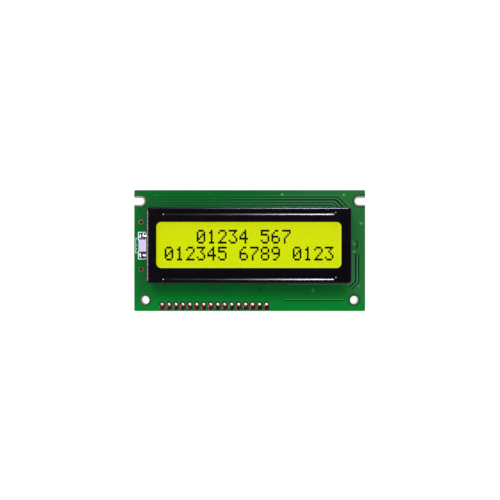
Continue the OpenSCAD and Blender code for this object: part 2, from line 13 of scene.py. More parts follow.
import bmesh
import bpy
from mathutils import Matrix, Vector


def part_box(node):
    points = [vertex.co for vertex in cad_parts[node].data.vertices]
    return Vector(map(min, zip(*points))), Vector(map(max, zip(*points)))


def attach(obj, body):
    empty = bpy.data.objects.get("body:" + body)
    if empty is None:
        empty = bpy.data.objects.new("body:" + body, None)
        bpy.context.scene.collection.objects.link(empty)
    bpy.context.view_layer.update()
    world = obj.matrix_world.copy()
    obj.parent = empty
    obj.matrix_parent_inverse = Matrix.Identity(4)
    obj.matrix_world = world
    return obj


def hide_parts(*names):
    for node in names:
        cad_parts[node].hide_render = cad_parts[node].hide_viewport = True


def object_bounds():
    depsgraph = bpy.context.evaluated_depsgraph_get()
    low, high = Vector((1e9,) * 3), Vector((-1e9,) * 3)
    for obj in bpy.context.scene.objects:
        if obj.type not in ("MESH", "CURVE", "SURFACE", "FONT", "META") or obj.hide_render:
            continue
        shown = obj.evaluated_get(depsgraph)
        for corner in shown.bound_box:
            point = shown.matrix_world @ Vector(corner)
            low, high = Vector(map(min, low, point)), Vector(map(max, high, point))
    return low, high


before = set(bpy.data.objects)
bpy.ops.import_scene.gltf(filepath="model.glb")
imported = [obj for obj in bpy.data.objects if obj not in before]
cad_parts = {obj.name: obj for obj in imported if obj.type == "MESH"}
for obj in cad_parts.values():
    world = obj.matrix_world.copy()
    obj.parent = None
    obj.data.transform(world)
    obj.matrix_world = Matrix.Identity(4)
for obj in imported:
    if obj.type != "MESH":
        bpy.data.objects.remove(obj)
CAD_BOX = [list(corner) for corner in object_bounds()]

LOG = logging.getLogger("lcd_module")
MM = 0.001
SEED = 11
WELD_GAP = 0.001
NO_CORNER = 1e-4
NEARLY_NONE = 1e-9
# How much of a noise turns one tone into the other, and how much finer the grime on it is.
PATCH_SPAN, PATCH_DETAIL = (0.35, 0.65), 4.0
GRIME_SPAN, GRIME_FINER = (0.3, 0.7), 2.3
# Rounded pieces: the angles, in degrees, under which faces merge, over which edges are rounded and
# over which they stay crisp, and the faces of each rounding.
SOFT_FLAT, SOFT_SHARP, SOFT_SMOOTH, SOFT_STEPS = 2.0, 35.0, 30.0, 2
LINE_BEND_STEPS, LINE_SMOOTH = 3, 50.0

Rgb = tuple[float, float, float]
Place = tuple[float, float, float]
Point = tuple[float, float]
Line = tuple[Point, ...]
Mesh = bpy.types.Mesh
Material = bpy.types.Material
Object = bpy.types.Object
Node = bpy.types.Node
Socket = bpy.types.NodeSocket


def srgb(red: int, green: int, blue: int) -> Rgb:
    """Turns a display colour into linear light.

    Args:
        red: Red, 0 to 255.
        green: Green, 0 to 255.
        blue: Blue, 0 to 255.

    Returns:
        The same colour as three linear values.
    """

    def linear(value: int) -> float:
        """Returns one linear channel."""
        part = value / 255
        return part / 12.92 if part <= 0.04045 else ((part + 0.055) / 1.055) ** 2.4

    return linear(red), linear(green), linear(blue)


# ---------------------------------------------------------------- node trees


class Graph:
    """Adds and links nodes in one tree, so that a finish or a shape reads as a few calls."""

    def __init__(self, tree: bpy.types.NodeTree) -> None:
        """Keeps the shader or geometry tree to build in."""
        self.tree = tree

    def node(self, kind: str, inputs: dict | None = None, **settings: object) -> Node:
        """Adds one node.

        Args:
            kind: The node's type name.
            inputs: Values or sockets by input name or index.
            **settings: Properties of the node itself.

        Returns:
            The new node.
        """
        made = self.tree.nodes.new(kind)
        for name, value in settings.items():
            setattr(made, name, value)
        for key, value in (inputs or {}).items():
            socket = made.inputs[key]
            if isinstance(value, Socket):
                self.tree.links.new(value, socket)
            elif isinstance(value, tuple) and len(value) == 3 and socket.type == "RGBA":
                socket.default_value = (*value, 1.0)
            else:
                socket.default_value = value
        return made

    def math(self, operation: str, *values: object) -> Socket:
        """Adds a Math node with one value or socket for each input and returns its result."""
        return self.node("ShaderNodeMath", dict(enumerate(values)), operation=operation).outputs[0]

    def noise(self, at: Socket, per_mm: float, detail: float = 3.0) -> Socket:
        """Adds a noise pattern of so many features a millimetre and returns it, 0.5 on average."""
        inputs = {"Vector": at, "Scale": per_mm / MM, "Detail": detail}
        return self.node("ShaderNodeTexNoise", inputs).outputs["Fac"]

    def wave(self, axis: Socket, turns: float) -> Socket:
        """Returns a sine wave along an axis, its turns in radians per metre."""
        return self.math("SINE", self.math("MULTIPLY", axis, turns))

    def between(
        self, value: Socket, low: float, high: float, start: float = 0.0, end: float = 1.0
    ) -> Socket:
        """Maps the range from low to high onto the one from start to end and clamps it."""
        inputs = {"Value": value, "From Min": low, "From Max": high, "To Min": start, "To Max": end}
        return self.node("ShaderNodeMapRange", inputs).outputs[0]

    def ramp(self, axis: Socket, span: Point, end: float = 1.0) -> Socket:
        """Returns a share that rises from 0 to its end over a span of an axis, in millimetres."""
        return self.between(axis, span[0] * MM, span[1] * MM, 0.0, end)

    def level(self, span: Point) -> Socket:
        """Returns how level the surface lies, rising over a span of its normal's Z."""
        normal = self.node("ShaderNodeNewGeometry").outputs["True Normal"]
        return self.between(self.math("ABSOLUTE", self.axes(normal)[2]), *span)

    def blend(self, share: object, first: object, second: object) -> Socket:
        """Mixes two colours.

        Args:
            share: How much of the second colour there is.
            first: The first colour or socket.
            second: The second colour or socket.

        Returns:
            The mixed colour.
        """
        made = self.node("ShaderNodeMix", data_type="RGBA")
        for index, value in ((0, share), (6, first), (7, second)):
            socket = made.inputs[index]
            if isinstance(value, Socket):
                self.tree.links.new(value, socket)
            else:
                socket.default_value = value if index == 0 else (*value, 1.0)
        return made.outputs[2]

    def object_place(self) -> Socket:
        """Returns the Object coordinates."""
        return self.node("ShaderNodeTexCoord").outputs["Object"]

    def axes(self, vector: Socket) -> Sequence[Socket]:
        """Returns the X, Y and Z of a vector."""
        return self.node("ShaderNodeSeparateXYZ", {0: vector}).outputs


# ------------------------------------------------------------------ finishes


@dataclass(frozen=True)
class Finish:
    """A surface with two close tones in patches, uneven gloss and a fine relief.

    The relief is a height in millimetres and the grain is its features per millimetre.
    """

    name: str
    tone: Rgb
    shade: Rgb
    patches: float = 0.25
    rough: float = 0.5
    uneven: float = 0.06
    metal: float = 0.0
    gloss: float = 0.5
    relief: float = 0.01
    grain: float = 3.0
    alpha: float = 1.0

    def paint(self, graph: Graph, place: Socket) -> Socket:
        """Builds the colour from the Object coordinates: two tones in patches."""
        share = graph.between(graph.noise(place, self.patches, PATCH_DETAIL), *PATCH_SPAN)
        return graph.blend(share, self.tone, self.shade)

    def height(self, graph: Graph, place: Socket) -> Socket:
        """Builds the relief from the Object coordinates, between 0 and 1."""
        return graph.noise(place, self.grain)

    def dullness(self, graph: Graph, place: Socket) -> Socket:
        """Builds the uneven roughness from the Object coordinates."""
        grime = graph.noise(place, self.patches * GRIME_FINER)
        return graph.between(grime, *GRIME_SPAN, self.rough - self.uneven, self.rough + self.uneven)

    def build(self) -> Material:
        """Builds the material.

        Returns:
            The finished material.
        """
        material = bpy.data.materials.new(self.name)
        material.use_nodes = True
        graph = Graph(material.node_tree)
        shader = material.node_tree.nodes["Principled BSDF"]
        place = graph.object_place()
        link = material.node_tree.links.new
        link(self.paint(graph, place), shader.inputs["Base Color"])
        link(self.dullness(graph, place), shader.inputs["Roughness"])
        if self.relief:
            raised = {"Distance": self.relief * MM, "Height": self.height(graph, place)}
            link(graph.node("ShaderNodeBump", raised).outputs[0], shader.inputs["Normal"])
        plain = {"Metallic": self.metal, "Specular IOR Level": self.gloss, "Alpha": self.alpha}
        for name, value in plain.items():
            shader.inputs[name].default_value = value
        self.extra(graph, shader, place)
        return material

    def extra(self, graph: Graph, shader: Node, place: Socket) -> None:
        """Adds nothing more to the Principled shader; finishes that need more say what."""


@dataclass(frozen=True)
class MaskedLaminate(Finish):
    """Green lacquer on both faces of the board and bare glass-cloth laminate on every cut wall.

    The lacquer carries painted light: it is lighter along the lower and left margins, and paler
    at the upper right and at the right end as a painted sheen. Each span runs from where such a
    zone begins to where it is full.
    """

    core: Rgb = srgb(120, 112, 66)
    core_shade: Rgb = srgb(96, 92, 52)
    # Painted light: the lighter tone of the lit margins, then the tone of the painted sheen.
    lit_margin_tone: Rgb = srgb(0, 121, 38)
    sheen_tone: Rgb = srgb(38, 108, 52)
    plies: float = 7.0
    board_t: float = 1.6
    weave: float = 1.6
    weave_share: float = 0.3
    # Spans of the painted light along Y and X, then the spans of the painted sheen.
    low_light_span: Point = (-14.5, -18.5)
    left_light_span: Point = (-39.0, -41.5)
    left_light_share: float = 0.5
    sheen_zones: tuple[Line, ...] = (((2.0, 24.0), (12.0, 15.0)), ((33.0, 37.0), (-21.0, -14.0)))
    sheen_share: float = 0.85
    face_span: Point = (0.45, 0.55)

    def painted_light_zones(self, graph: Graph, place: Socket, lacquer: Socket) -> Socket:
        """Paints light onto the lacquer: lighter margins and a sheen at the upper right and right end.

        Args:
            graph: The material's nodes.
            place: The Object coordinates.
            lacquer: The colour to tint.

        Returns:
            The tinted colour.
        """
        across, along, _ = graph.axes(place)
        low = graph.ramp(along, self.low_light_span)
        left = graph.ramp(across, self.left_light_span, self.left_light_share)
        lit_lacquer = graph.blend(graph.math("MAXIMUM", low, left), lacquer, self.lit_margin_tone)
        sheen_zones = [
            graph.math("MULTIPLY", graph.ramp(across, wide), graph.ramp(along, deep))
            for wide, deep in self.sheen_zones
        ]
        share = graph.math("MULTIPLY", graph.math("MAXIMUM", *sheen_zones), self.sheen_share)
        return graph.blend(share, lit_lacquer, self.sheen_tone)

    def paint(self, graph: Graph, place: Socket) -> Socket:
        """Builds lacquer on the faces and laminate on the walls.

        Args:
            graph: The material's nodes.
            place: The Object coordinates.

        Returns:
            The colour socket.
        """
        lacquer = self.painted_light_zones(graph, place, Finish.paint(self, graph, place))
        ply = graph.wave(graph.axes(place)[2], self.plies * math.tau / (self.board_t * MM))
        laminate = graph.blend(graph.between(ply, -1.0, 1.0), self.core, self.core_shade)
        return graph.blend(graph.level(self.face_span), laminate, lacquer)

    def height(self, graph: Graph, place: Socket) -> Socket:
        """Builds a cloth weave under the lacquer with a little unevenness.

        Args:
            graph: The material's nodes.
            place: The Object coordinates.

        Returns:
            A socket between 0 and 1.
        """
        across, along, _ = graph.axes(place)
        turns = self.weave * math.tau / MM
        crossed = graph.math("MULTIPLY", graph.wave(across, turns), graph.wave(along, turns))
        cloth = graph.math("MULTIPLY", graph.between(crossed, -1.0, 1.0), self.weave_share)
        return graph.math("MULTIPLY_ADD", graph.noise(place, self.grain), 1 - self.weave_share, cloth)


@dataclass(frozen=True)
class LacquerWithPaintedLight(Finish):
    """Lacquer over tracks or channels, with painted light towards the right: sheen on tracks, shade in
    channels.
    """

    # The painted tone at the board's right end, and the span along X over which it takes over.
    painted_right_tone: Rgb = srgb(60, 122, 78)
    painted_light_span: Point = (-12.0, 20.0)

    def paint(self, graph: Graph, place: Socket) -> Socket:
        """Builds the colour, blended towards the painted tone at the right."""
        plain, share = Finish.paint(self, graph, place), graph.ramp(graph.axes(place)[0], self.painted_light_span)
        return graph.blend(share, plain, self.painted_right_tone)


@dataclass(frozen=True)
class RimmedRing(Finish):
    """Rings round the corner holes: bare metal by the cut edge, then lacquer darkened as painted shade."""

    bare: Rgb = srgb(150, 142, 128)
    hole_at: Point = (38.0, -18.0)
    hole_r: float = 1.45
    notch_at: Point = (39.7, 18.0)
    notch_r: float = 1.35
    hole_rim: float = 0.14
    notch_rim: float = 0.42
    blur: float = 0.05

    def paint(self, graph: Graph, place: Socket) -> Socket:
        """Builds the ring's colours from the distance to the cut edge.

        Args:
            graph: The material's nodes.
            place: The Object coordinates.

        Returns:
            The colour socket.
        """
        across, along, _ = graph.axes(place)
        side = graph.math("ABSOLUTE", across)

        def rim(at: Point, radius: float, width: float, slot_end: bool) -> Socket:
            """Finds how bare the ring is round one centre.

            Args:
                at: The centre.
                radius: The cut edge's radius.
                width: The bare metal's width.
                slot_end: Whether the cut is open towards the board's side.

            Returns:
                A socket that is 1 on bare metal and 0 on lacquer.
            """
            offset = graph.math("SUBTRACT", side, at[0] * MM)
            if slot_end:
                offset = graph.math("MINIMUM", offset, 0.0)
            rise = graph.math("SUBTRACT", along, at[1] * MM)
            squares = graph.math("MULTIPLY_ADD", rise, rise, graph.math("MULTIPLY", offset, offset))
            reach = graph.math("SQRT", squares)
            edge = (radius + width) * MM
            return graph.between(reach, edge + self.blur * MM, edge - self.blur * MM)

        bare = graph.math(
            "MAXIMUM",
            rim(self.hole_at, self.hole_r, self.hole_rim, False),
            rim(self.notch_at, self.notch_r, self.notch_rim, True),
        )
        return graph.blend(bare, Finish.paint(self, graph, place), self.bare)


@dataclass(frozen=True)
class Enamel(Finish):
    """Black enamel, smooth on the face and duller where it thins over the folds and walls."""

    half_width: float = 35.85
    middle_y: float = 1.8
    half_depth: float = 13.4
    fold: float = 1.0
    fold_end: float = 0.4
    fold_rough: float = 0.15

    def dullness(self, graph: Graph, place: Socket) -> Socket:
        """Builds the roughness from the distance to the outer edges.

        Args:
            graph: The material's nodes.
            place: The Object coordinates.

        Returns:
            The roughness socket.
        """
        across, along, _ = graph.axes(place)
        side = graph.math("ABSOLUTE", across)
        rise = graph.math("ABSOLUTE", graph.math("SUBTRACT", along, self.middle_y * MM))
        spans = ((side, self.half_width), (rise, self.half_depth))
        near = [graph.ramp(axis, (span - self.fold, span - self.fold_end)) for axis, span in spans]
        extra = graph.math("MULTIPLY", graph.math("MAXIMUM", *near), self.fold_rough)
        return graph.math("ADD", Finish.dullness(self, graph, place), extra)


@dataclass(frozen=True)
class DippedPad(Finish):
    """Solder-dipped pads: a painted dark reflection on their faces, bright tin in their barrels."""

    barrel: Rgb = srgb(214, 206, 200)
    face_span: Point = (0.15, 0.35)

    def paint(self, graph: Graph, place: Socket) -> Socket:
        """Builds the darkened faces and the bright barrels."""
        face = Finish.paint(self, graph, place)
        return graph.blend(graph.level(self.face_span), self.barrel, face)


@dataclass(frozen=True)
class StripedRubber(Finish):
    """Conductive rubber: thin black and grey layers side by side along the strip."""

    layers: float = 4.0
    wear: float = 0.4
    edge: Point = (0.0, 0.4)

    def paint(self, graph: Graph, place: Socket) -> Socket:
        """Builds the layers.

        Args:
            graph: The material's nodes.
            place: The Object coordinates.

        Returns:
            The colour socket.
        """
        wave = graph.wave(graph.axes(place)[0], self.layers * math.tau / MM)
        worn = graph.math("MULTIPLY_ADD", graph.noise(place, self.patches), self.wear, wave)
        return graph.blend(graph.between(worn, *self.edge), self.tone, self.shade)


@dataclass(frozen=True)
class LitCrystal(Finish):
    """The lit area: an even glow, paler at the lower and right rims as a painted highlight, with a faint dot
    grid.

    The rims lie along the right and lower ends of the lit span, and each edge of a dot in the grid
    is given as a share of its pitch.
    """

    middle: Point = (0.0, 1.8)
    lit: Point = (64.4, 16.2)
    fade: float = 7.0
    # The painted highlight along the lit span's right and lower rims.
    rim: Rgb = srgb(224, 236, 52)
    glint_width: float = 1.1
    glint_end: float = 0.2
    glint_share: float = 0.7
    dark_share: float = 0.78
    glow: float = 1.06
    resting: Rgb = srgb(120, 130, 20)
    dot_pitch: Point = (0.6, 0.7)
    dot_edge: Point = (0.02, 0.06)
    grid_depth: float = 0.05

    def paint(self, graph: Graph, place: Socket) -> Socket:
        """Builds the colour that glows.

        Args:
            graph: The material's nodes.
            place: The Object coordinates.

        Returns:
            The colour socket.
        """
        across, along, _ = graph.axes(place)
        upward = graph.ramp(along, (self.middle[1] - self.fade, self.middle[1] + self.fade))
        body = graph.blend(upward, self.tone, self.shade)
        right = self.middle[0] + self.lit[0] / 2
        low = self.middle[1] - self.lit[1] / 2
        # The painted highlight fades in towards the right and lower rims.
        near_right = graph.ramp(across, (right - self.glint_width, right - self.glint_end))
        near_low = graph.ramp(along, (low + self.glint_width, low + self.glint_end))
        edge = graph.math("MULTIPLY", graph.math("MAXIMUM", near_right, near_low), self.glint_share)
        return graph.blend(edge, body, self.rim)

    def extra(self, graph: Graph, shader: Node, place: Socket) -> None:
        """Adds the glow and the faint grid of resting dots.

        Args:
            graph: The material's nodes.
            shader: The Principled shader.
            place: The Object coordinates.
        """
        link, base = graph.tree.links.new, shader.inputs["Base Color"]
        lit = base.links[0].from_socket
        link(graph.blend(self.dark_share, lit, (0.0, 0.0, 0.0)), base)
        lines = []
        for axis, pitch in zip(graph.axes(place), self.dot_pitch):
            cell = graph.math("PINGPONG", axis, pitch * MM / 2)
            lines.append(graph.ramp(cell, (pitch * self.dot_edge[0], pitch * self.dot_edge[1])))
        resting = graph.math("MULTIPLY", graph.math("MULTIPLY", *lines), self.grid_depth)
        link(graph.blend(resting, lit, self.resting), shader.inputs["Emission Color"])
        shader.inputs["Emission Strength"].default_value = self.glow


@dataclass(frozen=True)
class ClearSheet(Finish):
    """Clear glass or acrylic that light passes through."""

    ior: float = 1.5
    clearness: float = 0.9

    def extra(self, graph: Graph, shader: Node, place: Socket) -> None:
        """Adds the clearness to the Principled shader."""
        shader.inputs["Transmission Weight"].default_value = self.clearness
        shader.inputs["IOR"].default_value = self.ior


class Dress(Enum):
    """Every finish on the module."""

    MASK = MaskedLaminate(
        "green_mask", srgb(5, 102, 38), srgb(8, 97, 36), 0.12, 0.15, 0.03, gloss=0.16, relief=0.003
    )
    # Paler towards the right: a painted sheen.
    TRACK = LacquerWithPaintedLight(
        "lacquered_track", srgb(16, 109, 45), srgb(13, 104, 43), 0.2, 0.15, 0.03, gloss=0.2, relief=0.003
    )
    # Darker towards the right: painted shade.
    GAP = LacquerWithPaintedLight(
        "lacquered_channel", srgb(6, 90, 34), srgb(4, 84, 31), 0.3, 0.24, 0.04, gloss=0.2, relief=0.003,
        painted_right_tone=srgb(2, 54, 18),
    )
    # A dark line of painted shade along the lacquer's edge.
    EDGE_SHADE = Finish("painted_edge_shade", srgb(12, 72, 32), srgb(8, 62, 26), 0.4, 0.5, gloss=0.2, relief=0.003)
    DULL = Finish("lacquer_on_solder", srgb(12, 86, 34), srgb(20, 80, 36), 0.8, 0.5, gloss=0.1, relief=0.003)
    PRINT = Finish("white_ink", srgb(222, 240, 230), srgb(210, 232, 220), 1.2, 0.6, gloss=0.2, relief=0.003)
    THIN_PRINT = Finish("thin_ink", srgb(160, 222, 196), srgb(132, 204, 172), 1.2, 0.6, relief=0.003)
    VIA = Finish("lacquered_via", srgb(78, 150, 96), srgb(54, 128, 74), 0.9, 0.4, gloss=0.3, relief=0.003)
    HOLE_TIN = Finish("browned_ring", srgb(122, 86, 60), srgb(94, 66, 44), 0.9, 0.5, 0.1, 0.6, relief=0.006)
    # Near black: painted shade inside the spare holes.
    HOLE_SHADE = Finish("painted_hole_shade", srgb(6, 14, 8), srgb(12, 22, 12), 0.6, 0.8, gloss=0.06, relief=0.004)
    # The ring's lacquer is darker green than the board's: painted shade round the holes.
    RING = RimmedRing("corner_ring", srgb(22, 82, 42), srgb(18, 72, 36), 0.8, 0.42, gloss=0.3, relief=0.004)
    TIN = Finish("tinned_copper", srgb(206, 202, 200), srgb(182, 176, 172), 0.5, 0.42, 0.1, 1.0, relief=0.01)
    # Dark reddish faces: a painted dark reflection on the tin.
    PAD_TIN = DippedPad("pad_with_painted_reflection", srgb(122, 50, 54), srgb(88, 34, 38), 0.9, 0.36, 0.1, 1.0, relief=0.006)
    GOLD = Finish("gilt_contact", srgb(214, 172, 88), srgb(196, 152, 70), 0.5, 0.28, 0.06, 1.0, relief=0.003)
    RUBBER = StripedRubber("conductive_rubber", srgb(34, 34, 36), srgb(176, 172, 168), 0.8, 0.75, relief=0.01)
    WHITE = Finish(
        "white_moulding", srgb(217, 208, 240), srgb(210, 203, 235), 0.2, 0.45, 0.06, gloss=0.3, relief=0.004
    )
    FILM = Finish("white_film", srgb(240, 240, 238), srgb(232, 232, 230), 0.1, 0.5, relief=0.002)
    ACRYLIC = ClearSheet(
        "clear_acrylic", srgb(236, 246, 226), srgb(230, 242, 220), 0.1, 0.12, 0.04, relief=0.0
    )
    LED = Finish("led_package", srgb(240, 236, 214), srgb(226, 230, 140), 0.6, 0.35)
    GLASS = ClearSheet(
        "display_glass", srgb(226, 240, 222), srgb(218, 234, 214), 0.05, 0.06, 0.02, relief=0.0
    )
    FRONT_GLASS = Finish(
        "front_glass", srgb(52, 62, 22), srgb(44, 54, 18), 0.05, 0.08, 0.02, gloss=0.4, relief=0.0, alpha=0.05
    )
    POLARIZER = Finish("rear_polarizer", srgb(140, 150, 40), srgb(130, 140, 36), 0.1, 0.3, relief=0.001)
    FRONT_POLARIZER = Finish(
        "front_polarizer", srgb(44, 54, 14), srgb(38, 48, 10), 0.1, 0.2, 0.02, gloss=0.4, relief=0.0,
        alpha=0.07,
    )
    SEAL = Finish("seal_resin", srgb(188, 180, 148), srgb(170, 160, 128), 0.5, 0.4, relief=0.02)
    CRYSTAL = LitCrystal(
        "lit_crystal", srgb(211, 228, 0), srgb(212, 224, 6), 0.05, 0.6, gloss=0.0, relief=0.0
    )
    DOTS = Finish("dark_dots", srgb(4, 8, 2), srgb(8, 12, 4), 0.6, 0.6, gloss=0.0, relief=0.0)
    DOT_SHADOW = Finish("dot_shadow", srgb(84, 96, 10), srgb(76, 88, 8), 0.6, 0.6, gloss=0.0, relief=0.0)
    PAINT = Enamel(
        "black_enamel", srgb(3, 2, 5), srgb(5, 4, 8), 0.08, 0.19, 0.02, gloss=0.3, relief=0.0001, grain=2.0
    )
    EPOXY = Finish("black_epoxy", srgb(18, 18, 18), srgb(26, 25, 24), 0.4, 0.38, 0.1, relief=0.03, grain=1.1)
    CHIP = Finish("resistor_black", srgb(24, 24, 26), srgb(34, 33, 34), 2.0, 0.5, relief=0.01)
    TAN = Finish("capacitor_tan", srgb(176, 140, 96), srgb(158, 122, 80), 1.5, 0.45, relief=0.01)
    SOLDER = Finish(
        "solder", srgb(176, 172, 176), srgb(136, 130, 136), 0.8, 0.14, 0.05, 1.0, relief=0.02, grain=1.4
    )


NODE_DRESS = {
    "circuit_board": Dress.MASK,
    "led_board": Dress.MASK,
    "mounting_pads": Dress.RING,
    "header_pads": Dress.PAD_TIN,
    "spare_hole_pads": Dress.HOLE_TIN,
    "terminal_pads": Dress.SOLDER,
    "contact_fingers_upper": Dress.GOLD,
    "contact_fingers_lower": Dress.GOLD,
    "elastomer_strip_upper": Dress.RUBBER,
    "elastomer_strip_lower": Dress.RUBBER,
    "backlight_frame": Dress.WHITE,
    "reflector_film": Dress.FILM,
    "light_guide": Dress.ACRYLIC,
    "diffuser_film": Dress.FILM,
    "led_chips": Dress.LED,
    "terminal_anode": Dress.TIN,
    "terminal_cathode": Dress.TIN,
    "terminal_solder": Dress.SOLDER,
    "rear_polarizer": Dress.POLARIZER,
    "rear_glass": Dress.GLASS,
    "cell_seal": Dress.SEAL,
    "fill_port_plug": Dress.SEAL,
    "liquid_crystal": Dress.CRYSTAL,
    "lit_dots": Dress.DOTS,
    "front_glass": Dress.FRONT_GLASS,
    "front_polarizer": Dress.FRONT_POLARIZER,
    "bezel": Dress.PAINT,
    "controller_blob": Dress.EPOXY,
    "driver_blob": Dress.EPOXY,
    "resistor_bodies": Dress.CHIP,
    "resistor_ends": Dress.TIN,
    "capacitor_bodies": Dress.TAN,
    "capacitor_ends": Dress.TIN,
    "chip_solder_joints": Dress.SOLDER,
}


class Wardrobe:
    """Builds each finish once and hands it out."""

    def __init__(self) -> None:
        """Starts empty."""
        self.made: dict[Dress, Material] = {}

    def __getitem__(self, dress: Dress) -> Material:
        """Returns the material of a finish."""
        if dress not in self.made:
            self.made[dress] = dress.value.build()
        return self.made[dress]

    def dress_nodes(self) -> None:
        """Gives every carried-over node its finish."""
        for name, dress in NODE_DRESS.items():
            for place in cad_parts[name].material_slots:
                place.material = self[dress]


# ------------------------------------------------------------ geometry tools


def linked(name: str, data: object) -> Object:
    """Puts a new object in the scene.

    Args:
        name: Its name.
        data: Its mesh, lamp or camera.

    Returns:
        The new object.
    """
    made = bpy.data.objects.new(name, data)
    bpy.context.scene.collection.objects.link(made)
    return made


def baked(body: Object) -> Mesh:
    """Turns an object and its modifiers into a plain mesh, and removes the object.

    Args:
        body: The object.

    Returns:
        The mesh that its modifiers made.
    """
    bpy.context.view_layer.update()
    graph = bpy.context.evaluated_depsgraph_get()
    mesh = bpy.data.meshes.new_from_object(body.evaluated_get(graph), depsgraph=graph)
    body.modifiers.clear()
    bpy.data.objects.remove(body)
    return mesh


def ring(centre: Point, radius: float, steps: int = 48) -> list[Point]:
    """Returns the corners of a circle, anticlockwise from the right."""
    turns = [math.tau * step / steps for step in range(steps)]
    return [(centre[0] + radius * math.cos(a), centre[1] + radius * math.sin(a)) for a in turns]


def rounded(centre: Point, width: float, depth: float, radius: float, corner_steps: int = 5) -> list[Point]:
    """Returns the outline of a rectangle with round corners.

    Args:
        centre: Its centre.
        width: Its size along X.
        depth: Its size along Y.
        radius: The corners' radius.
        corner_steps: How many steps each corner takes.

    Returns:
        The outline, anticlockwise, from the middle of the right side.
    """
    radius = min(radius, width / 2 - NO_CORNER, depth / 2 - NO_CORNER)
    points = []
    for quarter, (sx, sy) in enumerate(((1, 1), (-1, 1), (-1, -1), (1, -1))):
        at = (centre[0] + sx * (width / 2 - radius), centre[1] + sy * (depth / 2 - radius))
        for step in range(corner_steps + 1):
            angle = math.pi / 2 * (quarter + step / corner_steps)
            points.append((at[0] + radius * math.cos(angle), at[1] + radius * math.sin(angle)))
    return points


class Sketch:
    """Collects the vertices and faces of one piece, in millimetres."""

    def __init__(self) -> None:
        """Starts empty."""
        self.points: list[tuple[float, float, float]] = []
        self.faces: list[tuple[int, ...]] = []

    def loft(self, layers: Sequence[tuple[Sequence[Point], float]], tube: bool = False) -> None:
        """Joins outlines of equal length one above the other.

        Args:
            layers: Each outline with its height; outlines go anticlockwise and the heights go up.
            tube: Whether the last layer joins the first instead of both being capped.
        """
        start = len(self.points)
        count = len(layers[0][0])
        for outline, height in layers:
            self.points += [(x, y, height) for x, y in outline]
        total = len(layers)
        for level in range(total if tube else total - 1):
            below = start + level * count
            above = start + (level + 1) % total * count
            for step in range(count):
                after = (step + 1) % count
                self.faces.append((below + step, below + after, above + after, above + step))
        if not tube:
            self.faces.append(tuple(start + step for step in reversed(range(count))))
            self.faces.append(tuple(start + (total - 1) * count + step for step in range(count)))

    def object(self, name: str, material: Material, smooth: float = 40.0) -> Object:
        """Makes the piece.

        Args:
            name: The object's name.
            material: Its finish.
            smooth: Edges sharper than this angle, in degrees, stay crisp.

        Returns:
            The new object, its place in its mesh.
        """
        mesh = bpy.data.meshes.new(name)
        mesh.from_pydata([tuple(c * MM for c in p) for p in self.points], [], self.faces)
        return finished(mesh, name, material, smooth)


def finished(
    mesh: Mesh, name: str, material: Material, smooth: float = 40.0
) -> Object:
    """Puts a finished mesh in the scene.

    Args:
        mesh: The mesh, in metres.
        name: The object's name.
        material: Its finish.
        smooth: Edges sharper than this angle, in degrees, stay crisp.

    Returns:
        The new object.
    """
    mesh.name = name
    mesh.materials.clear()
    mesh.materials.append(material)
    mesh.validate()
    mesh.shade_smooth()
    mesh.set_sharp_from_angle(angle=math.radians(smooth))
    return linked(name, mesh)


def settle(made: Object, slot: str, *replaced: str) -> Object:
    """Fixes a piece to the module and says what it is.

    Args:
        made: The piece.
        slot: Not used.
        *replaced: The nodes that it stands for.

    Returns:
        The same piece.
    """
    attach(made, "root")
    if replaced:
        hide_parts(*replaced)
    stands_for = f", for {', '.join(replaced)}" if replaced else ""
    LOG.info("%s: %d faces%s", made.name, len(made.data.polygons), stands_for)
    return made


class ShapeTree:
    """A Geometry Nodes tree with named inputs, run on one object at a time."""

    def __init__(self, name: str, inputs: dict[str, str]) -> None:
        """Opens the tree.

        Args:
            name: The tree's name.
            inputs: The socket type of each named input.
        """
        self.tree = bpy.data.node_groups.new(name, "GeometryNodeTree")
        self.graph = Graph(self.tree)
        faces = self.tree.interface
        faces.new_socket("Geometry", in_out="INPUT", socket_type="NodeSocketGeometry")
        faces.new_socket("Geometry", in_out="OUTPUT", socket_type="NodeSocketGeometry")
        self.keys = {
            label: faces.new_socket(label, in_out="INPUT", socket_type=kind).identifier
            for label, kind in {**inputs, "Material": "NodeSocketMaterial"}.items()
        }
        self.given = self.graph.node("NodeGroupInput").outputs

    def close(self, geometry: Socket) -> None:
        """Ends the tree in plain geometry with its material.

        Args:
            geometry: What the tree has made.
        """
        real = self.graph.node("GeometryNodeRealizeInstances", {"Geometry": geometry}).outputs[0]
        inputs = {"Geometry": real, "Material": self.given["Material"]}
        painted = self.graph.node("GeometryNodeSetMaterial", inputs)
        self.graph.node("NodeGroupOutput", {0: painted.outputs[0]})

    def run(self, source: Mesh, name: str, values: dict[str, object], smooth: float) -> Object:
        """Runs the tree on a mesh and keeps the result as a plain mesh.

        Args:
            source: The points or edges that it starts from.
            name: The finished object's name.
            values: A value for each named input, the material included.
            smooth: Edges sharper than this angle, in degrees, stay crisp.

        Returns:
            The finished object.
        """
        seed = linked(f"{name}_seed", source)
        step = seed.modifiers.new("shape", "NODES")
        step.node_group = self.tree
        for label, value in values.items():
            step[self.keys[label]] = value
        return finished(baked(seed), name, values["Material"], smooth)


@dataclass(frozen=True)
class Run:
    """One line on the board: its corner points, and whether it closes on itself."""

    points: tuple[Point, ...]
    closed: bool = False


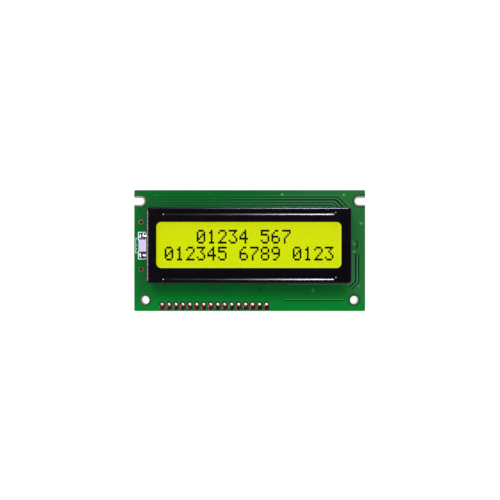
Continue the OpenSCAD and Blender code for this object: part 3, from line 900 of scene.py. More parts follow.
class Liner(ShapeTree):
    """Sweeps a flat strip along lines: tracks, ink and painted shade along the lacquer's edges."""

    def __init__(self) -> None:
        """Builds the tree."""
        numbers = ("Width", "Thickness", "Bend")
        super().__init__("strip_along_lines", {name: "NodeSocketFloat" for name in numbers})
        graph, given = self.graph, self.given
        curve = graph.node("GeometryNodeMeshToCurve", {"Mesh": given["Geometry"]}).outputs[0]
        bend = {"Curve": curve, "Count": LINE_BEND_STEPS, "Radius": given["Bend"], "Limit Radius": True}
        curve = graph.node("GeometryNodeFilletCurve", bend, mode="POLY").outputs[0]
        curve = graph.node("GeometryNodeSetCurveNormal", {"Curve": curve}, mode="Z_UP").outputs[0]
        section = {"Width": given["Width"], "Height": given["Thickness"]}
        profile = graph.node("GeometryNodeCurvePrimitiveQuadrilateral", section, mode="RECTANGLE").outputs[0]
        swept = {"Curve": curve, "Profile Curve": profile, "Fill Caps": True}
        self.close(graph.node("GeometryNodeCurveToMesh", swept).outputs[0])

    def draw(
        self, name: str, runs: Sequence[Run], height: float, width: float, material: Material,
        thickness: float = 0.05, bend: float = 0.5,
    ) -> Object:
        """Lays strips along lines at one height.

        Args:
            name: The finished object's name.
            runs: The lines.
            height: The height of the strip's middle.
            width: The strip's width.
            material: Its finish.
            thickness: The strip's thickness.
            bend: The radius at its corners.

        Returns:
            The finished strips in one object.
        """
        points: list[tuple[float, float, float]] = []
        edges: list[tuple[int, int]] = []
        for run in runs:
            first = len(points)
            points += [(x * MM, y * MM, height * MM) for x, y in run.points]
            last = len(points) - 1
            edges += [(index, index + 1) for index in range(first, last)]
            if run.closed:
                edges.append((last, first))
        mesh = bpy.data.meshes.new(f"{name}_lines")
        mesh.from_pydata(points, edges, [])
        values = {"Width": width * MM, "Thickness": thickness * MM, "Bend": bend * MM, "Material": material}
        return self.run(mesh, name, values, LINE_SMOOTH)


@dataclass(frozen=True)
class Spot:
    """Where one copy stands: its place, its turn about Z in degrees and its size along each axis."""

    place: tuple[float, float, float]
    turn: float = 0.0
    size: tuple[float, float, float] = (1.0, 1.0, 1.0)


class Scatterer(ShapeTree):
    """Stands copies of one shape at given spots, each a little different."""

    def __init__(self) -> None:
        """Builds the tree."""
        inputs = {"Shape": "NodeSocketObject", "Change": "NodeSocketFloat", "Sway": "NodeSocketFloat"}
        super().__init__("copies_at_spots", {**inputs, "Seed": "NodeSocketInt"})
        graph, given = self.graph, self.given

        def kept(name: str, kind: str) -> Socket:
            """Returns an attribute of the spots."""
            return graph.node("GeometryNodeInputNamedAttribute", {"Name": name}, data_type=kind).outputs[0]

        def drawn(low: Socket, high: Socket) -> Socket:
            """Returns a random value between two others, drawn for each spot."""
            inputs = {2: low, 3: high, "Seed": given["Seed"]}
            return graph.node("FunctionNodeRandomValue", inputs, data_type="FLOAT").outputs[1]

        turn, size = kept("turn", "FLOAT"), kept("size", "FLOAT_VECTOR")
        turned = graph.math("ADD", turn, drawn(graph.math("MULTIPLY", given["Sway"], -1.0), given["Sway"]))
        angle = graph.node("ShaderNodeCombineXYZ", {"Z": turned}).outputs[0]
        least, most = graph.math("SUBTRACT", 1.0, given["Change"]), graph.math("ADD", 1.0, given["Change"])
        inputs = {0: size, "Scale": drawn(least, most)}
        scaled = graph.node("ShaderNodeVectorMath", inputs, operation="SCALE").outputs[0]
        shape = graph.node("GeometryNodeObjectInfo", {"Object": given["Shape"]}).outputs["Geometry"]
        spread = {"Points": given["Geometry"], "Instance": shape, "Rotation": angle, "Scale": scaled}
        self.close(graph.node("GeometryNodeInstanceOnPoints", spread).outputs[0])

    def stand(
        self, shape: Sketch, name: str, spots: Sequence[Spot], material: Material,
        change: float = 0.0, sway: float = 0.0, smooth: float = 40.0, seed: int = SEED,
    ) -> Object:
        """Stands one copy of a shape at each spot.

        Args:
            shape: The shape, drawn round the origin.
            name: The finished object's name.
            spots: Where the copies stand.
            material: Their finish.
            change: The largest change of size, as a share.
            sway: The largest extra turn, in degrees.
            smooth: Edges sharper than this angle, in degrees, stay crisp.
            seed: The seed of the changes.

        Returns:
            All copies in one object.
        """
        mesh = bpy.data.meshes.new(f"{name}_spots")
        mesh.from_pydata([tuple(c * MM for c in spot.place) for spot in spots], [], [])
        turns = mesh.attributes.new("turn", "FLOAT", "POINT")
        turns.data.foreach_set("value", [math.radians(spot.turn) for spot in spots])
        sizes = mesh.attributes.new("size", "FLOAT_VECTOR", "POINT")
        sizes.data.foreach_set("vector", [c for spot in spots for c in spot.size])
        template = shape.object(f"{name}_shape", material, smooth)
        values = {"Shape": template, "Change": change, "Sway": math.radians(sway)}
        values |= {"Seed": seed, "Material": material}
        made = self.run(mesh, name, values, smooth)
        bpy.data.objects.remove(template)
        return made


@dataclass(frozen=True)
class Soft:
    """A boxy node, and the copy with rounded edges that stands in for it."""

    node: str
    name: str
    dress: Dress
    width: float
    slot: str


def softened(soft: Soft, wardrobe: Wardrobe) -> Object:
    """Stands a copy with rounded edges in for a boxy node.

    Args:
        soft: The node, its copy, and the width of the rounding.
        wardrobe: The finishes.

    Returns:
        The rounded piece.
    """
    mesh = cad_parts[soft.node].data.copy()
    body = linked(f"{soft.name}_body", mesh)
    if mesh.has_custom_normals:
        mesh.normals_split_custom_set([(0.0, 0.0, 0.0)] * len(mesh.loops))
    weld = body.modifiers.new("weld", "WELD")
    weld.merge_threshold = WELD_GAP * MM
    flat = body.modifiers.new("flat", "DECIMATE")
    flat.decimate_type = "DISSOLVE"
    flat.angle_limit = math.radians(SOFT_FLAT)
    bevel = body.modifiers.new("bevel", "BEVEL")
    bevel.width = soft.width * MM
    bevel.segments = SOFT_STEPS
    bevel.limit_method = "ANGLE"
    bevel.angle_limit = math.radians(SOFT_SHARP)
    bevel.use_clamp_overlap = True
    made = finished(baked(body), soft.name, wardrobe[soft.dress], SOFT_SMOOTH)
    return settle(made, soft.slot, soft.node)


def box_mm(node: str) -> tuple[Vector, Vector]:
    """Returns a node's lowest and highest corners in millimetres."""
    low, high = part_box(node)
    return low / MM, high / MM


# ------------------------------------------------------------- sub-assemblies


@dataclass(frozen=True)
class Copper:
    """Lines in one finish: rows of the upper bus, and other lines by their width.

    Each row of the bus has its place along Y, its width and how much shorter it is at each end.
    """

    name: str
    dress: Dress
    bus: tuple[Place, ...]
    lines: dict[float, tuple[Line, ...]]


FRONT_TRACKS = Copper(
    "front_tracks",
    Dress.TRACK,
    ((19.0, 0.42, 1.0), (17.9, 0.5, 2.0), (16.95, 0.5, 3.0), (15.95, 0.6, 4.0)),
    {
        0.42: (((38.0, -1.6), (38.0, -10.9), (36.2, -12.7)), ((39.1, -1.6), (39.1, -11.3), (36.6, -13.8))),
        0.3: (
            ((12.9, -17.75), (34.4, -17.75)),
            (
                (-40.75, 14.4), (-35.2, 19.95), (32.5, 19.95), (36.6, 15.85), (36.6, -9.85),
                (34.2, -12.25), (14.0, -12.25),
            ),
            ((37.35, -1.2), (37.35, -10.6), (35.2, -12.75)),
            ((-40.9, 12.0), (-40.9, 15.2), (-38.6, 15.2)),
        ),
    },
)
DULL_LINKS = Copper(
    "dull_links",
    Dress.DULL,
    (),
    {0.9: (((-39.5, -8.0), (-39.5, -13.2), (-37.8, -14.9)), ((-39.5, 11.6), (-39.5, 13.6)))},
)
CHANNELS = Copper(
    "lacquer_channels",
    Dress.GAP,
    ((18.45, 0.62, 1.5), (17.42, 0.3, 2.5), (16.45, 0.4, 3.5)),
    {
        0.62: (((38.56, -1.2), (38.56, -11.1), (36.3, -13.36)),),
        0.4: (
            ((-39.9, 14.4), (-34.8, 19.5), (32.1, 19.5), (36.2, 15.4), (36.2, 12.6)),
            ((39.65, -1.2), (39.65, -11.5), (37.0, -14.15)),
            ((38.7, 0.9), (39.15, 1.5), (39.25, 2.4), (39.05, 3.2), (38.6, 3.6)),
        ),
        0.3: (((12.5, -18.2), (34.4, -18.2)), ((3.0, -13.6), (4.6, -15.2))),
    },
)
CHANNEL_DROP = 0.004
RIM_STEPS, PAD_STEPS, PAD_ARC, VIA_STEPS, FILL_STEPS = 64, 40, 16, 16, 24
BRIGHT_VIAS = ((11.8, 20.3), (34.3, 20.3), (40.5, 9.9), (38.0, 2.4), (37.9, -0.4))
PLAIN_VIAS = ((39.6, -12.9), (-14.6, 20.4), (-33.7, 20.2), (23.0, -14.4), (37.3, 3.6))
VIA_PROFILE = ((0.55, -0.02), (0.5, 0.05), (0.36, 0.08), (0.2, 0.06), (0.12, 0.02))
PAD_PROFILE = ((0.0, 0.0), (0.12, 0.07), (0.4, 0.13), (0.75, 0.11), (1.0, 0.04))
FILL_PROFILE = ((0.47, -0.1), (0.63, 0.005), (0.56, 0.03), (0.38, -0.05), (0.12, -0.09))


@dataclass
class BoardDress:
    """The board's tracks, ink, painted shade along the lacquer's edges, and header pads."""

    wardrobe: Wardrobe
    liner: Liner
    scatterer: Scatterer
    track_height: float = 0.05
    header_pitch: float = 2.54
    header_count: int = 16
    header_hole_r: float = 0.5
    pad_w: float = 1.7
    mount_x: float = 38.0
    mount_y: float = -18.0
    mount_ring_r: float = 2.0
    notch_x: float = 39.7
    notch_y: float = 18.0
    notch_w: float = 2.7
    notch_rim: float = 0.8
    bus_foot: float = 14.4
    bus_edge: float = 35.6
    bus_ends: Point = (-35.2, 32.5)
    bus_steps: Point = (0.8, 0.75)
    front_rise: float = 0.01
    via_change: float = 0.12
    rim_w: float = 0.3
    rim_t: float = 0.04
    rim_rise: float = 0.002
    corner_gap: float = 0.14
    pad_gap: Point = (0.12, 0.02)
    box_y: Point = (4.85, 2.0)
    box_x: Point = (-40.45, -37.65)
    box_line: Point = (0.46, 0.09)
    box_rise: float = 0.02
    bracket_x: Point = (-41.5, -41.0)
    bracket_half: float = 2.6
    bracket_ticks: Point = (-1.2, 0.2)
    bracket_line: Point = (0.34, 0.03)

    def __post_init__(self) -> None:
        """Reads the board's place from the frame."""
        low, high = box_mm("circuit_board")
        self.top, self.under = high.z, low.z
        self.right = high.x
        self.front_z = self.top + self.front_rise
        pads_low, pads_high = box_mm("header_pads")
        self.header_x = pads_low.x + self.pad_w / 2
        self.header_y = pads_high.y - self.pad_w / 2
        self.pad_low = pads_low.y

    def header_places(self) -> list[float]:
        """Returns the X of each header hole."""
        return [self.header_x + self.header_pitch * index for index in range(self.header_count)]

    def lay(self, copper: Copper, height: float) -> None:
        """Lays strips of several widths in one finish.

        Args:
            copper: The lines.
            height: The height of their middle.
        """
        groups: dict[float, list[Run]] = {}
        for y, width, inset in copper.bus:
            groups.setdefault(width, []).append(self.bus(y, inset))
        for width, lines in copper.lines.items():
            groups.setdefault(width, []).extend(Run(line) for line in lines)
        finish = self.wardrobe[copper.dress]
        for index, (width, runs) in enumerate(sorted(groups.items())):
            name = f"{copper.name}_{index}"
            settle(self.liner.draw(name, runs, height, width, finish, self.track_height), "green_laminate")

    def bus(self, y: float, inset: float) -> Run:
        """Returns one line of the upper bus, which turns under the bezel at both ends.

        Args:
            y: Its height on the board.
            inset: How much shorter it is than the longest at each end.

        Returns:
            The line.
        """
        left = self.bus_ends[0] + self.bus_steps[0] * inset
        right = self.bus_ends[1] - self.bus_steps[1] * inset
        points = [(left - y + self.bus_foot, self.bus_foot), (left, y), (right, y)]
        turn = y - (self.bus_edge - right)
        if turn > self.bus_foot:
            points += [(self.bus_edge, turn), (self.bus_edge, self.bus_foot)]
        else:
            points.append((right + y - self.bus_foot, self.bus_foot))
        return Run(tuple(points))

    def vias(self) -> None:
        """Raises the lacquered vias."""
        shape = Sketch()
        shape.loft([(ring((0, 0), radius, VIA_STEPS), height) for radius, height in VIA_PROFILE])
        vias = (("bright_vias", BRIGHT_VIAS, Dress.VIA), ("vias", PLAIN_VIAS, Dress.TRACK))
        for name, places, dress in vias:
            spots = [Spot((x, y, self.top)) for x, y in places]
            made = self.scatterer.stand(shape, name, spots, self.wardrobe[dress], self.via_change)
            settle(made, "green_laminate")

    def rims(self) -> None:
        """Lays a dark line of painted shade along the lacquer's edge round the corner rings and header pads.
        """
        corner, pads = [], []
        for side in (-1, 1):
            hole = ring((side * self.mount_x, self.mount_y), self.mount_ring_r + self.corner_gap, RIM_STEPS)
            corner.append(Run(tuple(hole), True))
            radius = self.notch_w / 2 + self.notch_rim + self.corner_gap
            turns = [math.pi / 2 + math.tau * step / RIM_STEPS for step in range(RIM_STEPS // 2 + 1)]
            arc = [
                (side * (self.notch_x + radius * math.cos(a)), self.notch_y + radius * math.sin(a))
                for a in turns
            ]
            end = self.right * side
            corner.append(Run(((end, self.notch_y + radius), *arc, (end, self.notch_y - radius))))
        reach, foot = self.pad_w / 2 + self.pad_gap[0], self.pad_low - self.pad_gap[1]
        over = [math.pi * (1 - step / PAD_ARC) for step in range(PAD_ARC + 1)]
        for x in self.header_places():
            top = [(x + reach * math.cos(a), self.header_y + reach * math.sin(a)) for a in over]
            pads.append(Run(((x - reach, foot), *top, (x + reach, foot))))
        finish = self.wardrobe[Dress.EDGE_SHADE]
        for face, height in (("front", self.top + self.rim_rise), ("rear", self.under - self.rim_rise)):
            for name, runs in ((f"{face}_corner_edges", corner), (f"{face}_header_edges", pads)):
                made = self.liner.draw(name, runs, height, self.rim_w, finish, self.rim_t, 0.0)
                settle(made, "green_laminate")

    def header(self) -> None:
        """Builds the header's solder-dipped pads, domed on both faces, with their barrels."""
        half, hole = self.pad_w / 2, self.header_hole_r
        length = self.header_y + half - self.pad_low
        turns = [math.tau * step / PAD_STEPS for step in range(PAD_STEPS)]
        low_centre = length - 2 * half

        def reach(angle: float) -> float:
            """Finds how far the pad's edge lies from the hole's centre.

            Args:
                angle: The direction, in radians from +X.

            Returns:
                The distance.
            """
            across, along = math.cos(angle), math.sin(angle)
            if along >= 0:
                return half
            if half / max(abs(across), NEARLY_NONE) * -along <= low_centre:
                return half / abs(across)
            lean = -along * low_centre
            return lean + math.sqrt(lean * lean - low_centre**2 + half**2)

        def part(share: float, radius: float) -> list[Point]:
            """Returns an outline between the pad's edge and the hole."""
            spans = [reach(a) * (1 - share) + radius * share for a in turns]
            return [(span * math.cos(a), span * math.sin(a)) for span, a in zip(spans, turns)]

        thick = self.top - self.under
        middle_z = (self.top + self.under) / 2
        shape = Sketch()
        layers = [(part(share, hole), thick / 2 + rise) for share, rise in PAD_PROFILE]
        layers += [(part(share, hole), -thick / 2 - rise) for share, rise in reversed(PAD_PROFILE)]
        shape.loft(list(reversed(layers)), tube=True)
        spots = [Spot((x, self.header_y, middle_z)) for x in self.header_places()]
        made = self.scatterer.stand(shape, "header_pads_tinned", spots, self.wardrobe[Dress.PAD_TIN])
        settle(made, "tinned_copper", "header_pads")

    def ink(self) -> None:
        """Prints a box round each backlight leg and the bracket beside them."""
        low, high = box_mm("terminal_pads")
        centre = (low.y + high.y) / 2
        (outer, inner), (left, right) = self.box_y, self.box_x
        boxes = []
        for side in (-1, 1):
            ends = (centre + side * outer, centre + side * inner)
            boxes.append(Run(((left, ends[1]), (left, ends[0]), (right, ends[0]), (right, ends[1]))))
        (back, tip), tall = self.bracket_x, self.bracket_half
        top, foot = centre + tall, centre - tall
        ticks = [Run(((tip, top), (back, top), (back, foot), (tip, foot)))]
        ticks += [Run(((back, centre + y), (tip, centre + y))) for y in self.bracket_ticks]
        for name, runs, height, (width, thick), dress in (
            ("ink_box", boxes, self.front_z + self.box_rise, self.box_line, Dress.PRINT),
            ("ink_bracket", ticks, self.front_z, self.bracket_line, Dress.THIN_PRINT),
        ):
            made = self.liner.draw(name, runs, height, width, self.wardrobe[dress], thick, 0.0)
            settle(made, "white_moulding")

    def hole_shades(self) -> None:
        """Fills the two spare holes with a near-black fill, bowl-shaped on both faces, as painted shade
        inside them.
        """
        low, high = box_mm("spare_hole_pads")
        ring_r = (high.x - low.x) / 2
        half = (high.z - low.z) / 2
        bowl = [(ring((0, 0), ring_r * share, FILL_STEPS), rise) for share, rise in FILL_PROFILE]
        layers = [(outline, -half - rise) for outline, rise in reversed(bowl)]
        layers += [(outline, half + rise) for outline, rise in bowl]
        shape = Sketch()
        shape.loft(layers)
        centre_x, centre_z = (low.x + high.x) / 2, (low.z + high.z) / 2
        spots = [Spot((centre_x, y, centre_z)) for y in (low.y + ring_r, high.y - ring_r)]
        made = self.scatterer.stand(shape, "spare_hole_fill", spots, self.wardrobe[Dress.HOLE_SHADE])
        settle(made, "tinned_copper")

    def build(self) -> None:
        """Builds everything on the board: its tracks, its sunk channels and its trim."""
        for copper in (FRONT_TRACKS, DULL_LINKS):
            self.lay(copper, self.front_z)
        self.lay(CHANNELS, self.front_z - CHANNEL_DROP)
        self.vias()
        self.rims()
        self.header()
        self.ink()
        self.hole_shades()


MOULDING = Soft("backlight_frame", "backlight_moulding", Dress.WHITE, 0.12, "white_moulding")
LEGS_AND_LEDS = (
    Soft("terminal_anode", "anode_leg", Dress.TIN, 0.04, "tinned_copper"),
    Soft("terminal_cathode", "cathode_leg", Dress.TIN, 0.04, "tinned_copper"),
    Soft("led_chips", "led_packages", Dress.LED, 0.08, "led_package"),
)
CHIP_PARTS = (
    Soft("resistor_bodies", "resistors", Dress.CHIP, 0.05, "chip_black"),
    Soft("resistor_ends", "resistor_caps", Dress.TIN, 0.07, "tinned_copper"),
    Soft("capacitor_bodies", "capacitors", Dress.TAN, 0.08, "chip_tan"),
    Soft("capacitor_ends", "capacitor_caps", Dress.TIN, 0.08, "tinned_copper"),
)
MOUND_TOP = 0.8
MOUND_PROFILE = (
    (1.0, 0.0), (0.97, 0.2), (0.92, 0.42), (0.82, 0.62), (0.64, 0.74), (0.4, 0.79), (0.14, MOUND_TOP),
)
MOUND_STEPS = 6


@dataclass
class BacklightDress:
    """The backlight's moulding, legs and solder."""

    wardrobe: Wardrobe
    scatterer: Scatterer
    mound_w: float = 1.95
    mound_l: float = 2.25
    mound_h: float = 0.75
    mound_lean: float = 0.1
    mound_corner: float = 0.32
    mound_turns: Point = (4.0, -7.0)
    mound_change: float = 0.03
    mound_sway: float = 3.0
    draft: float = 0.06
    draft_from: float = 4.8

    def build(self) -> None:
        """Builds the moulding, the legs and the solder mounds."""
        moulding = softened(MOULDING, self.wardrobe)
        low, _ = box_mm(MOULDING.node)
        for vertex in moulding.data.vertices:
            if vertex.co.x < (low.x + self.draft) * MM and vertex.co.z > self.draft_from * MM:
                vertex.co.x += self.draft * MM
        for soft in LEGS_AND_LEDS:
            softened(soft, self.wardrobe)
        low, high = box_mm("terminal_solder")
        centre_x = (low.x + high.x) / 2
        radius = (high.x - low.x) / 2
        places = (low.y + radius, high.y - radius)
        layers = []
        for share, rise in MOUND_PROFILE:
            width, length = self.mound_w * share, self.mound_l * share
            middle = (self.mound_lean * (1 - share), 0)
            outline = rounded(middle, width, length, width * self.mound_corner, MOUND_STEPS)
            layers.append((outline, rise * self.mound_h / MOUND_TOP))
        shape = Sketch()
        shape.loft(layers)
        spots = [Spot((centre_x, y, low.z), turn) for y, turn in zip(places, self.mound_turns)]
        finish = self.wardrobe[Dress.SOLDER]
        made = self.scatterer.stand(shape, "leg_solder", spots, finish, self.mound_change, self.mound_sway)
        settle(made, "solder", "terminal_solder")


@dataclass
class DisplayDress:
    """The soft shadow that the lit dots throw on the layer behind them."""

    wardrobe: Wardrobe
    scatterer: Scatterer
    spread: float = 0.075
    thick: float = 0.03
    top_share: float = 0.9
    corner_r: float = 0.12
    corner_steps: int = 2

    def dots(self) -> tuple[list[Vector], Vector]:
        """Reads the lit dots.

        Returns:
            Each dot's middle, in order, and the size of one dot.
        """
        body = bmesh.new()
        body.from_mesh(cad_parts["lit_dots"].data)
        bmesh.ops.remove_doubles(body, verts=body.verts, dist=WELD_GAP * MM)
        unseen = set(body.verts)
        middles, size = [], Vector()
        for first in body.verts:
            if first not in unseen:
                continue
            unseen.discard(first)
            island = [first]
            for vertex in island:
                fresh = [edge.other_vert(vertex) for edge in vertex.link_edges]
                fresh = [other for other in fresh if other in unseen]
                unseen.difference_update(fresh)
                island.extend(fresh)
            low = Vector([min(vertex.co[axis] for vertex in island) for axis in range(3)])
            high = Vector([max(vertex.co[axis] for vertex in island) for axis in range(3)])
            middles.append((low + high) / 2 / MM)
            size = (high - low) / MM
        body.free()
        return middles, size

    def build(self) -> None:
        """Throws a slightly larger shadow behind each lit dot."""
        middles, size = self.dots()
        shape = Sketch()
        profile = ((1.0, 0.0), (self.top_share, self.thick))
        width, depth = size.x + 2 * self.spread, size.y + 2 * self.spread
        shape.loft(
            [
                (rounded((0, 0), width * share, depth * share, self.corner_r, self.corner_steps), height)
                for share, height in profile
            ]
        )
        floor = -size.z / 2 - self.thick / 3
        spots = [Spot((middle.x, middle.y, middle.z + floor)) for middle in middles]
        made = self.scatterer.stand(shape, "dot_shadows", spots, self.wardrobe[Dress.DOT_SHADOW])
        settle(made, "dot_dark")


@dataclass
class RearDress:
    """The epoxy drops, chips and tracks behind the board."""

    wardrobe: Wardrobe
    liner: Liner
    scatterer: Scatterer
    waves: tuple[tuple[int, float], ...] = ((2, 0.018), (3, 0.022), (5, 0.012), (7, 0.007))
    steps: int = 96
    levels: int = 18
    tip: float = 0.02
    shrink: float = 0.035
    fullness: float = 0.9
    smooth: float = 60.0
    ripple: float = 0.04
    track_w: float = 0.3
    track_drop: float = 0.01
    track_bend: float = 0.25
    fan_count: int = 16
    fan_middle: int = 7
    fan_foot: Point = (-32.0, -18.5)
    fan_pitch: float = 2.54
    fan_head: Point = (-18.5, 0.62)
    fan_level: Point = (-16.8, 0.55)
    fan_bend: float = 1.2
    fan_straight: float = 2.0
    drop_at: Point = (-14.0, 1.8)
    drop_r: float = 6.3
    link_count: int = 14
    link_from: Point = (-3.0, 0.72)
    link_ends: Point = (7.6, 3.0)
    link_rise: float = 0.3
    riser_count: int = 10
    riser_x: Point = (-18.0, 4.0)
    riser_clear: float = 0.8
    riser_top: float = 16.9
    riser_bend: Point = (13.4, 0.2)
    riser_head: Point = (-13.0, 2.8)
    riser_low: float = 8.4

    def blob(self, node: str, name: str, phase: float) -> None:
        """Builds one drop of epoxy with an uneven outline.

        Args:
            node: The node that it stands for.
            name: The piece's name.
            phase: Where the outline's waves begin, in radians.
        """
        low, high = box_mm(node)
        centre = ((low.x + high.x) / 2, (low.y + high.y) / 2)
        radius, deep = (high.x - low.x) / 2, high.z - low.z
        layers = []
        for level in range(self.levels + 1):
            angle = math.pi / 2 * level / self.levels
            share = max(math.cos(angle), self.tip) if level else 1.0
            points = []
            for step in range(self.steps):
                turn = math.tau * step / self.steps
                wave = sum(size * math.sin(count * turn + phase * count) for count, size in self.waves)
                reach = radius * share * (1 + (wave - self.shrink) * share)
                points.append((centre[0] + reach * math.cos(turn), centre[1] + reach * math.sin(turn)))
            sunk = deep * math.sin(angle) ** self.fullness * (1 - self.ripple * math.cos(level))
            layers.append((points, max(high.z - sunk, low.z)))
        shape = Sketch()
        shape.loft(list(reversed(layers)))
        settle(shape.object(name, self.wardrobe[Dress.EPOXY], self.smooth), "black_epoxy", node)

    def fan(self, index: int) -> Run:
        """Leads one header hole to the drop that it belongs to.

        Args:
            index: The hole, from the left.

        Returns:
            The line.
        """
        start, foot = self.fan_foot[0] + self.fan_pitch * index, self.fan_foot[1]
        head = self.fan_head[0] + self.fan_head[1] * index
        level = self.fan_level[0] + self.fan_level[1] * abs(index - self.fan_middle)
        lean = head - start
        end = self.drop_at[1] - math.sqrt(max(self.drop_r**2 - (head - self.drop_at[0]) ** 2, 0.0))
        if abs(lean) <= self.fan_straight:
            return Run(((start, foot), (start, level - abs(lean)), (head, level), (head, end)))
        step = math.copysign(min(abs(lean), self.fan_bend), lean)
        turned = (start + step, level), (head - step / 2, level), (head, level + abs(step) / 2)
        return Run(((start, foot), (start, level - abs(step)), *turned, (head, end)))

    def link(self, index: int) -> Run:
        """Joins the two drops by one line, counted from below."""
        y, (end, flat) = self.link_from[0] + self.link_from[1] * index, self.link_ends
        return Run(((-end, y), (-flat, y + self.link_rise), (flat, y + self.link_rise), (end, y)))

    def riser(self, index: int) -> Run:
        """Leads one line from the upper edge towards the drops.

        Args:
            index: The line, from the left.

        Returns:
            The line.
        """
        x = self.riser_x[0] + self.riser_x[1] * index
        x += self.riser_clear if x > 0 else -self.riser_clear
        bend = self.riser_bend[0] - self.riser_bend[1] * index
        head = self.riser_head[0] + self.riser_head[1] * index
        return Run(((x, self.riser_top), (x, bend), (head, self.riser_low)))

    def tracks(self) -> None:
        """Lays the tracks behind the board, between the drops, the chips and the header."""
        runs = [self.fan(index) for index in range(self.fan_count)]
        runs += [self.link(index) for index in range(self.link_count)]
        runs += [self.riser(index) for index in range(self.riser_count)]
        height = box_mm("circuit_board")[0].z - self.track_drop
        finish = self.wardrobe[Dress.TRACK]
        made = self.liner.draw("rear_tracks", runs, height, self.track_w, finish, bend=self.track_bend)
        settle(made, "green_laminate")

    def build(self) -> None:
        """Builds everything behind the board."""
        self.blob("controller_blob", "controller_drop", 0.6)
        self.blob("driver_blob", "driver_drop", 2.1)
        for soft in CHIP_PARTS:
            softened(soft, self.wardrobe)
        self.tracks()


# --------------------------------------------------------------------- studio


@dataclass(frozen=True)
class Card:
    """A bright card that only glossy surfaces see, brighter towards its right end.

    Its turn is its direction from +X and its tilt its angle from straight up, in degrees. Its middle
    is how far it is shifted along its width, and its strengths are those of its left and right ends.
    """

    name: str
    turn: float
    tilt: float
    middle: float
    width: float
    height: float
    strengths: Point


CARDS = (
    Card("back_card", 90.0, 46.0, -15.0, 270.0, 230.0, (0.2, 150.0)),
    Card("left_card", 180.0, 52.0, 0.0, 300.0, 160.0, (36.0, 36.0)),
)
SQUARE = ((-1, -1), (1, -1), (1, 1), (-1, 1))


def towards(tilt: float, turn: float) -> Vector:
    """Returns the direction so many degrees from straight up and from +X."""
    lean, round_ = math.radians(tilt), math.radians(turn)
    return Vector((math.sin(lean) * math.cos(round_), math.sin(lean) * math.sin(round_), math.cos(lean)))


def emptied(owner: Material | bpy.types.World) -> Graph:
    """Clears the nodes of a material or world.

    Args:
        owner: The material or world.

    Returns:
        Its empty tree.
    """
    owner.use_nodes = True
    owner.node_tree.nodes.clear()
    return Graph(owner.node_tree)


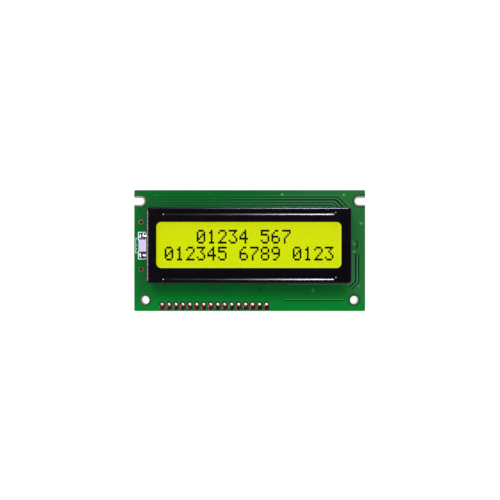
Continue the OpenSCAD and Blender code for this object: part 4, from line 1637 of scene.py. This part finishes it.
@dataclass
class Studio:
    """The floor, the lamps, the surroundings and the camera."""

    floor_size: float = 4000.0
    floor_seen: float = 0.88
    floor_mirrored: float = 0.36
    floor_gap: float = 0.02
    floor_tone: Rgb = (0.22, 0.22, 0.22)
    eye: tuple[float, float, float] = (6.7, -3.1, 193.8)
    focal: float = 37.6
    sensor: float = 36.0
    shift: Point = (-0.0362, 0.0182)
    sky_low: Rgb = (0.34, 0.34, 0.36)
    sky_high: Rgb = (0.08, 0.065, 0.12)
    sky_span: Point = (0.05, 0.85)
    dark_way: Point = (-0.8, 0.6)
    dark_span: Point = (0.2, -0.45)
    dark_share: float = 0.96
    fill: float = 1.0
    fill_tone: Rgb = (0.97, 0.98, 1.0)
    key: float = 0.95
    key_tilt: float = 35.0
    key_from: float = 108.0
    key_spread: float = 30.0
    key_target: Place = (0.0, 1.8, 8.0)
    card_away: float = 600.0
    card_tone: Rgb = (0.9, 0.88, 1.0)
    card_curve: float = 4.0
    card_fade: float = 0.93
    clip: Point = (0.01, 10.0)

    def floor(self) -> None:
        """Lays a pale floor that shows white, keeps the shadow and is clear from beneath."""
        half = self.floor_size / 2
        mesh = bpy.data.meshes.new("floor")
        bottom = CAD_BOX[0][2] - self.floor_gap * MM
        corners = [(x * half * MM, y * half * MM, bottom) for x, y in SQUARE]
        mesh.from_pydata(corners, [], [(0, 1, 2, 3)])
        made = linked("floor", mesh)
        material = bpy.data.materials.new("pale_floor")
        graph = emptied(material)
        matt = graph.node("ShaderNodeBsdfDiffuse", {"Color": self.floor_tone}).outputs[0]
        path = graph.node("ShaderNodeLightPath").outputs
        seen = graph.math("MAXIMUM", path["Is Camera Ray"], path["Is Transmission Ray"])
        mirrored = graph.math("MULTIPLY", path["Is Glossy Ray"], self.floor_mirrored)
        seen = graph.math("MAXIMUM", graph.math("MULTIPLY", seen, self.floor_seen), mirrored)
        white = graph.node("ShaderNodeEmission", {"Strength": seen}).outputs[0]
        both = graph.node("ShaderNodeAddShader", {0: matt, 1: white}).outputs[0]
        beneath = graph.node("ShaderNodeNewGeometry").outputs["Backfacing"]
        clear = graph.math("MAXIMUM", path["Is Diffuse Ray"], path["Is Shadow Ray"])
        clear = graph.math("MAXIMUM", beneath, clear)
        through = graph.node("ShaderNodeBsdfTransparent").outputs[0]
        both = graph.node("ShaderNodeMixShader", {0: clear, 1: both, 2: through}).outputs[0]
        graph.node("ShaderNodeOutputMaterial", {"Surface": both})
        mesh.materials.append(material)

    def sky(self) -> None:
        """Sets even light all round, white to the camera and darker overhead in reflections."""
        world = bpy.data.worlds.new("studio")
        bpy.context.scene.world = world
        graph = emptied(world)
        east, north, up = graph.axes(graph.node("ShaderNodeTexCoord").outputs["Generated"])
        ceiling = graph.blend(graph.between(up, *self.sky_span), self.sky_low, self.sky_high)
        northward = graph.math("MULTIPLY", north, self.dark_way[1])
        lit_side = graph.math("MULTIPLY_ADD", east, self.dark_way[0], northward)
        dark = graph.between(lit_side, *self.dark_span, 0.0, self.dark_share)
        ceiling = graph.blend(dark, ceiling, self.sky_high)
        path = graph.node("ShaderNodeLightPath").outputs
        glossy = graph.node("ShaderNodeBackground", {"Color": ceiling}).outputs[0]
        plain = {"Color": self.fill_tone, "Strength": self.fill}
        plain = graph.node("ShaderNodeBackground", plain).outputs[0]
        white = graph.node("ShaderNodeBackground", {"Color": (1.0, 1.0, 1.0)}).outputs[0]
        lit = graph.node("ShaderNodeMixShader", {0: path["Is Glossy Ray"], 1: plain, 2: glossy}).outputs[0]
        seen = graph.math("MAXIMUM", path["Is Camera Ray"], path["Is Transmission Ray"])
        full = graph.node("ShaderNodeMixShader", {0: seen, 1: lit, 2: white}).outputs[0]
        graph.node("ShaderNodeOutputWorld", {"Surface": full})

    def lamp(self) -> None:
        """Stands a soft key lamp that metal and enamel don't mirror."""
        sun = bpy.data.lights.new("key", "SUN")
        sun.energy = self.key
        sun.angle = math.radians(self.key_spread)
        made = linked("key", sun)
        offset = towards(self.key_tilt, self.key_from)
        made.location = (Vector(self.key_target) + offset * self.card_away) * MM
        made.rotation_euler = (-offset).to_track_quat("-Z", "Y").to_euler()
        made.visible_glossy = False

    def card(self, card: Card) -> None:
        """Stands one card that draws bright lines on the bezel's beads and folds.

        Args:
            card: Its place, size and brightness.
        """
        away = towards(card.tilt, card.turn)
        round_ = math.radians(card.turn)
        side = Vector((math.sin(round_), -math.cos(round_), 0.0))
        rise = side.cross(away).normalized() * -1
        centre = away * self.card_away + side * card.middle
        corners = [centre + side * (x * card.width / 2) + rise * (y * card.height / 2) for x, y in SQUARE]
        mesh = bpy.data.meshes.new(card.name)
        mesh.from_pydata([corner * MM for corner in corners], [], [(0, 1, 2, 3)])
        made = linked(card.name, mesh)
        material = bpy.data.materials.new(card.name)
        graph = emptied(material)
        inputs = {0: graph.object_place(), 1: tuple(side)}
        along = graph.node("ShaderNodeVectorMath", inputs, operation="DOT_PRODUCT").outputs["Value"]
        start = (centre.dot(side) - card.width / 2) * MM
        share = graph.between(along, start, start + card.width * MM)
        curve = graph.math("POWER", share, self.card_curve)
        curve = graph.math("MULTIPLY", curve, graph.between(share, 1.0, self.card_fade))
        weak, strong = card.strengths
        inputs = {"Color": self.card_tone, "Strength": graph.math("MULTIPLY_ADD", curve, strong - weak, weak)}
        glow = graph.node("ShaderNodeEmission", inputs).outputs[0]
        graph.node("ShaderNodeOutputMaterial", {"Surface": glow})
        mesh.materials.append(material)
        made.visible_camera = made.visible_diffuse = made.visible_transmission = made.visible_shadow = False

    def camera(self) -> None:
        """Stands the camera, which looks straight down."""
        lens = bpy.data.cameras.new("camera")
        lens.lens, lens.sensor_width = self.focal, self.sensor
        lens.shift_x, lens.shift_y = self.shift
        lens.clip_start, lens.clip_end = self.clip
        made = linked("camera", lens)
        made.location = Vector(self.eye) * MM
        bpy.context.scene.camera = made

    def build(self) -> None:
        """Sets up the whole studio."""
        bpy.context.scene.view_settings.view_transform = "Standard"
        self.floor()
        self.sky()
        self.lamp()
        for card in CARDS:
            self.card(card)
        self.camera()


def main() -> None:
    """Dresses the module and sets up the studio."""
    logging.basicConfig(level=logging.INFO, format="%(name)s: %(message)s")
    wardrobe = Wardrobe()
    wardrobe.dress_nodes()
    liner, scatterer = Liner(), Scatterer()
    BoardDress(wardrobe, liner, scatterer).build()
    BacklightDress(wardrobe, scatterer).build()
    DisplayDress(wardrobe, scatterer).build()
    RearDress(wardrobe, liner, scatterer).build()
    Studio().build()
    bpy.context.view_layer.update()


if __name__ == "__main__":
    main()
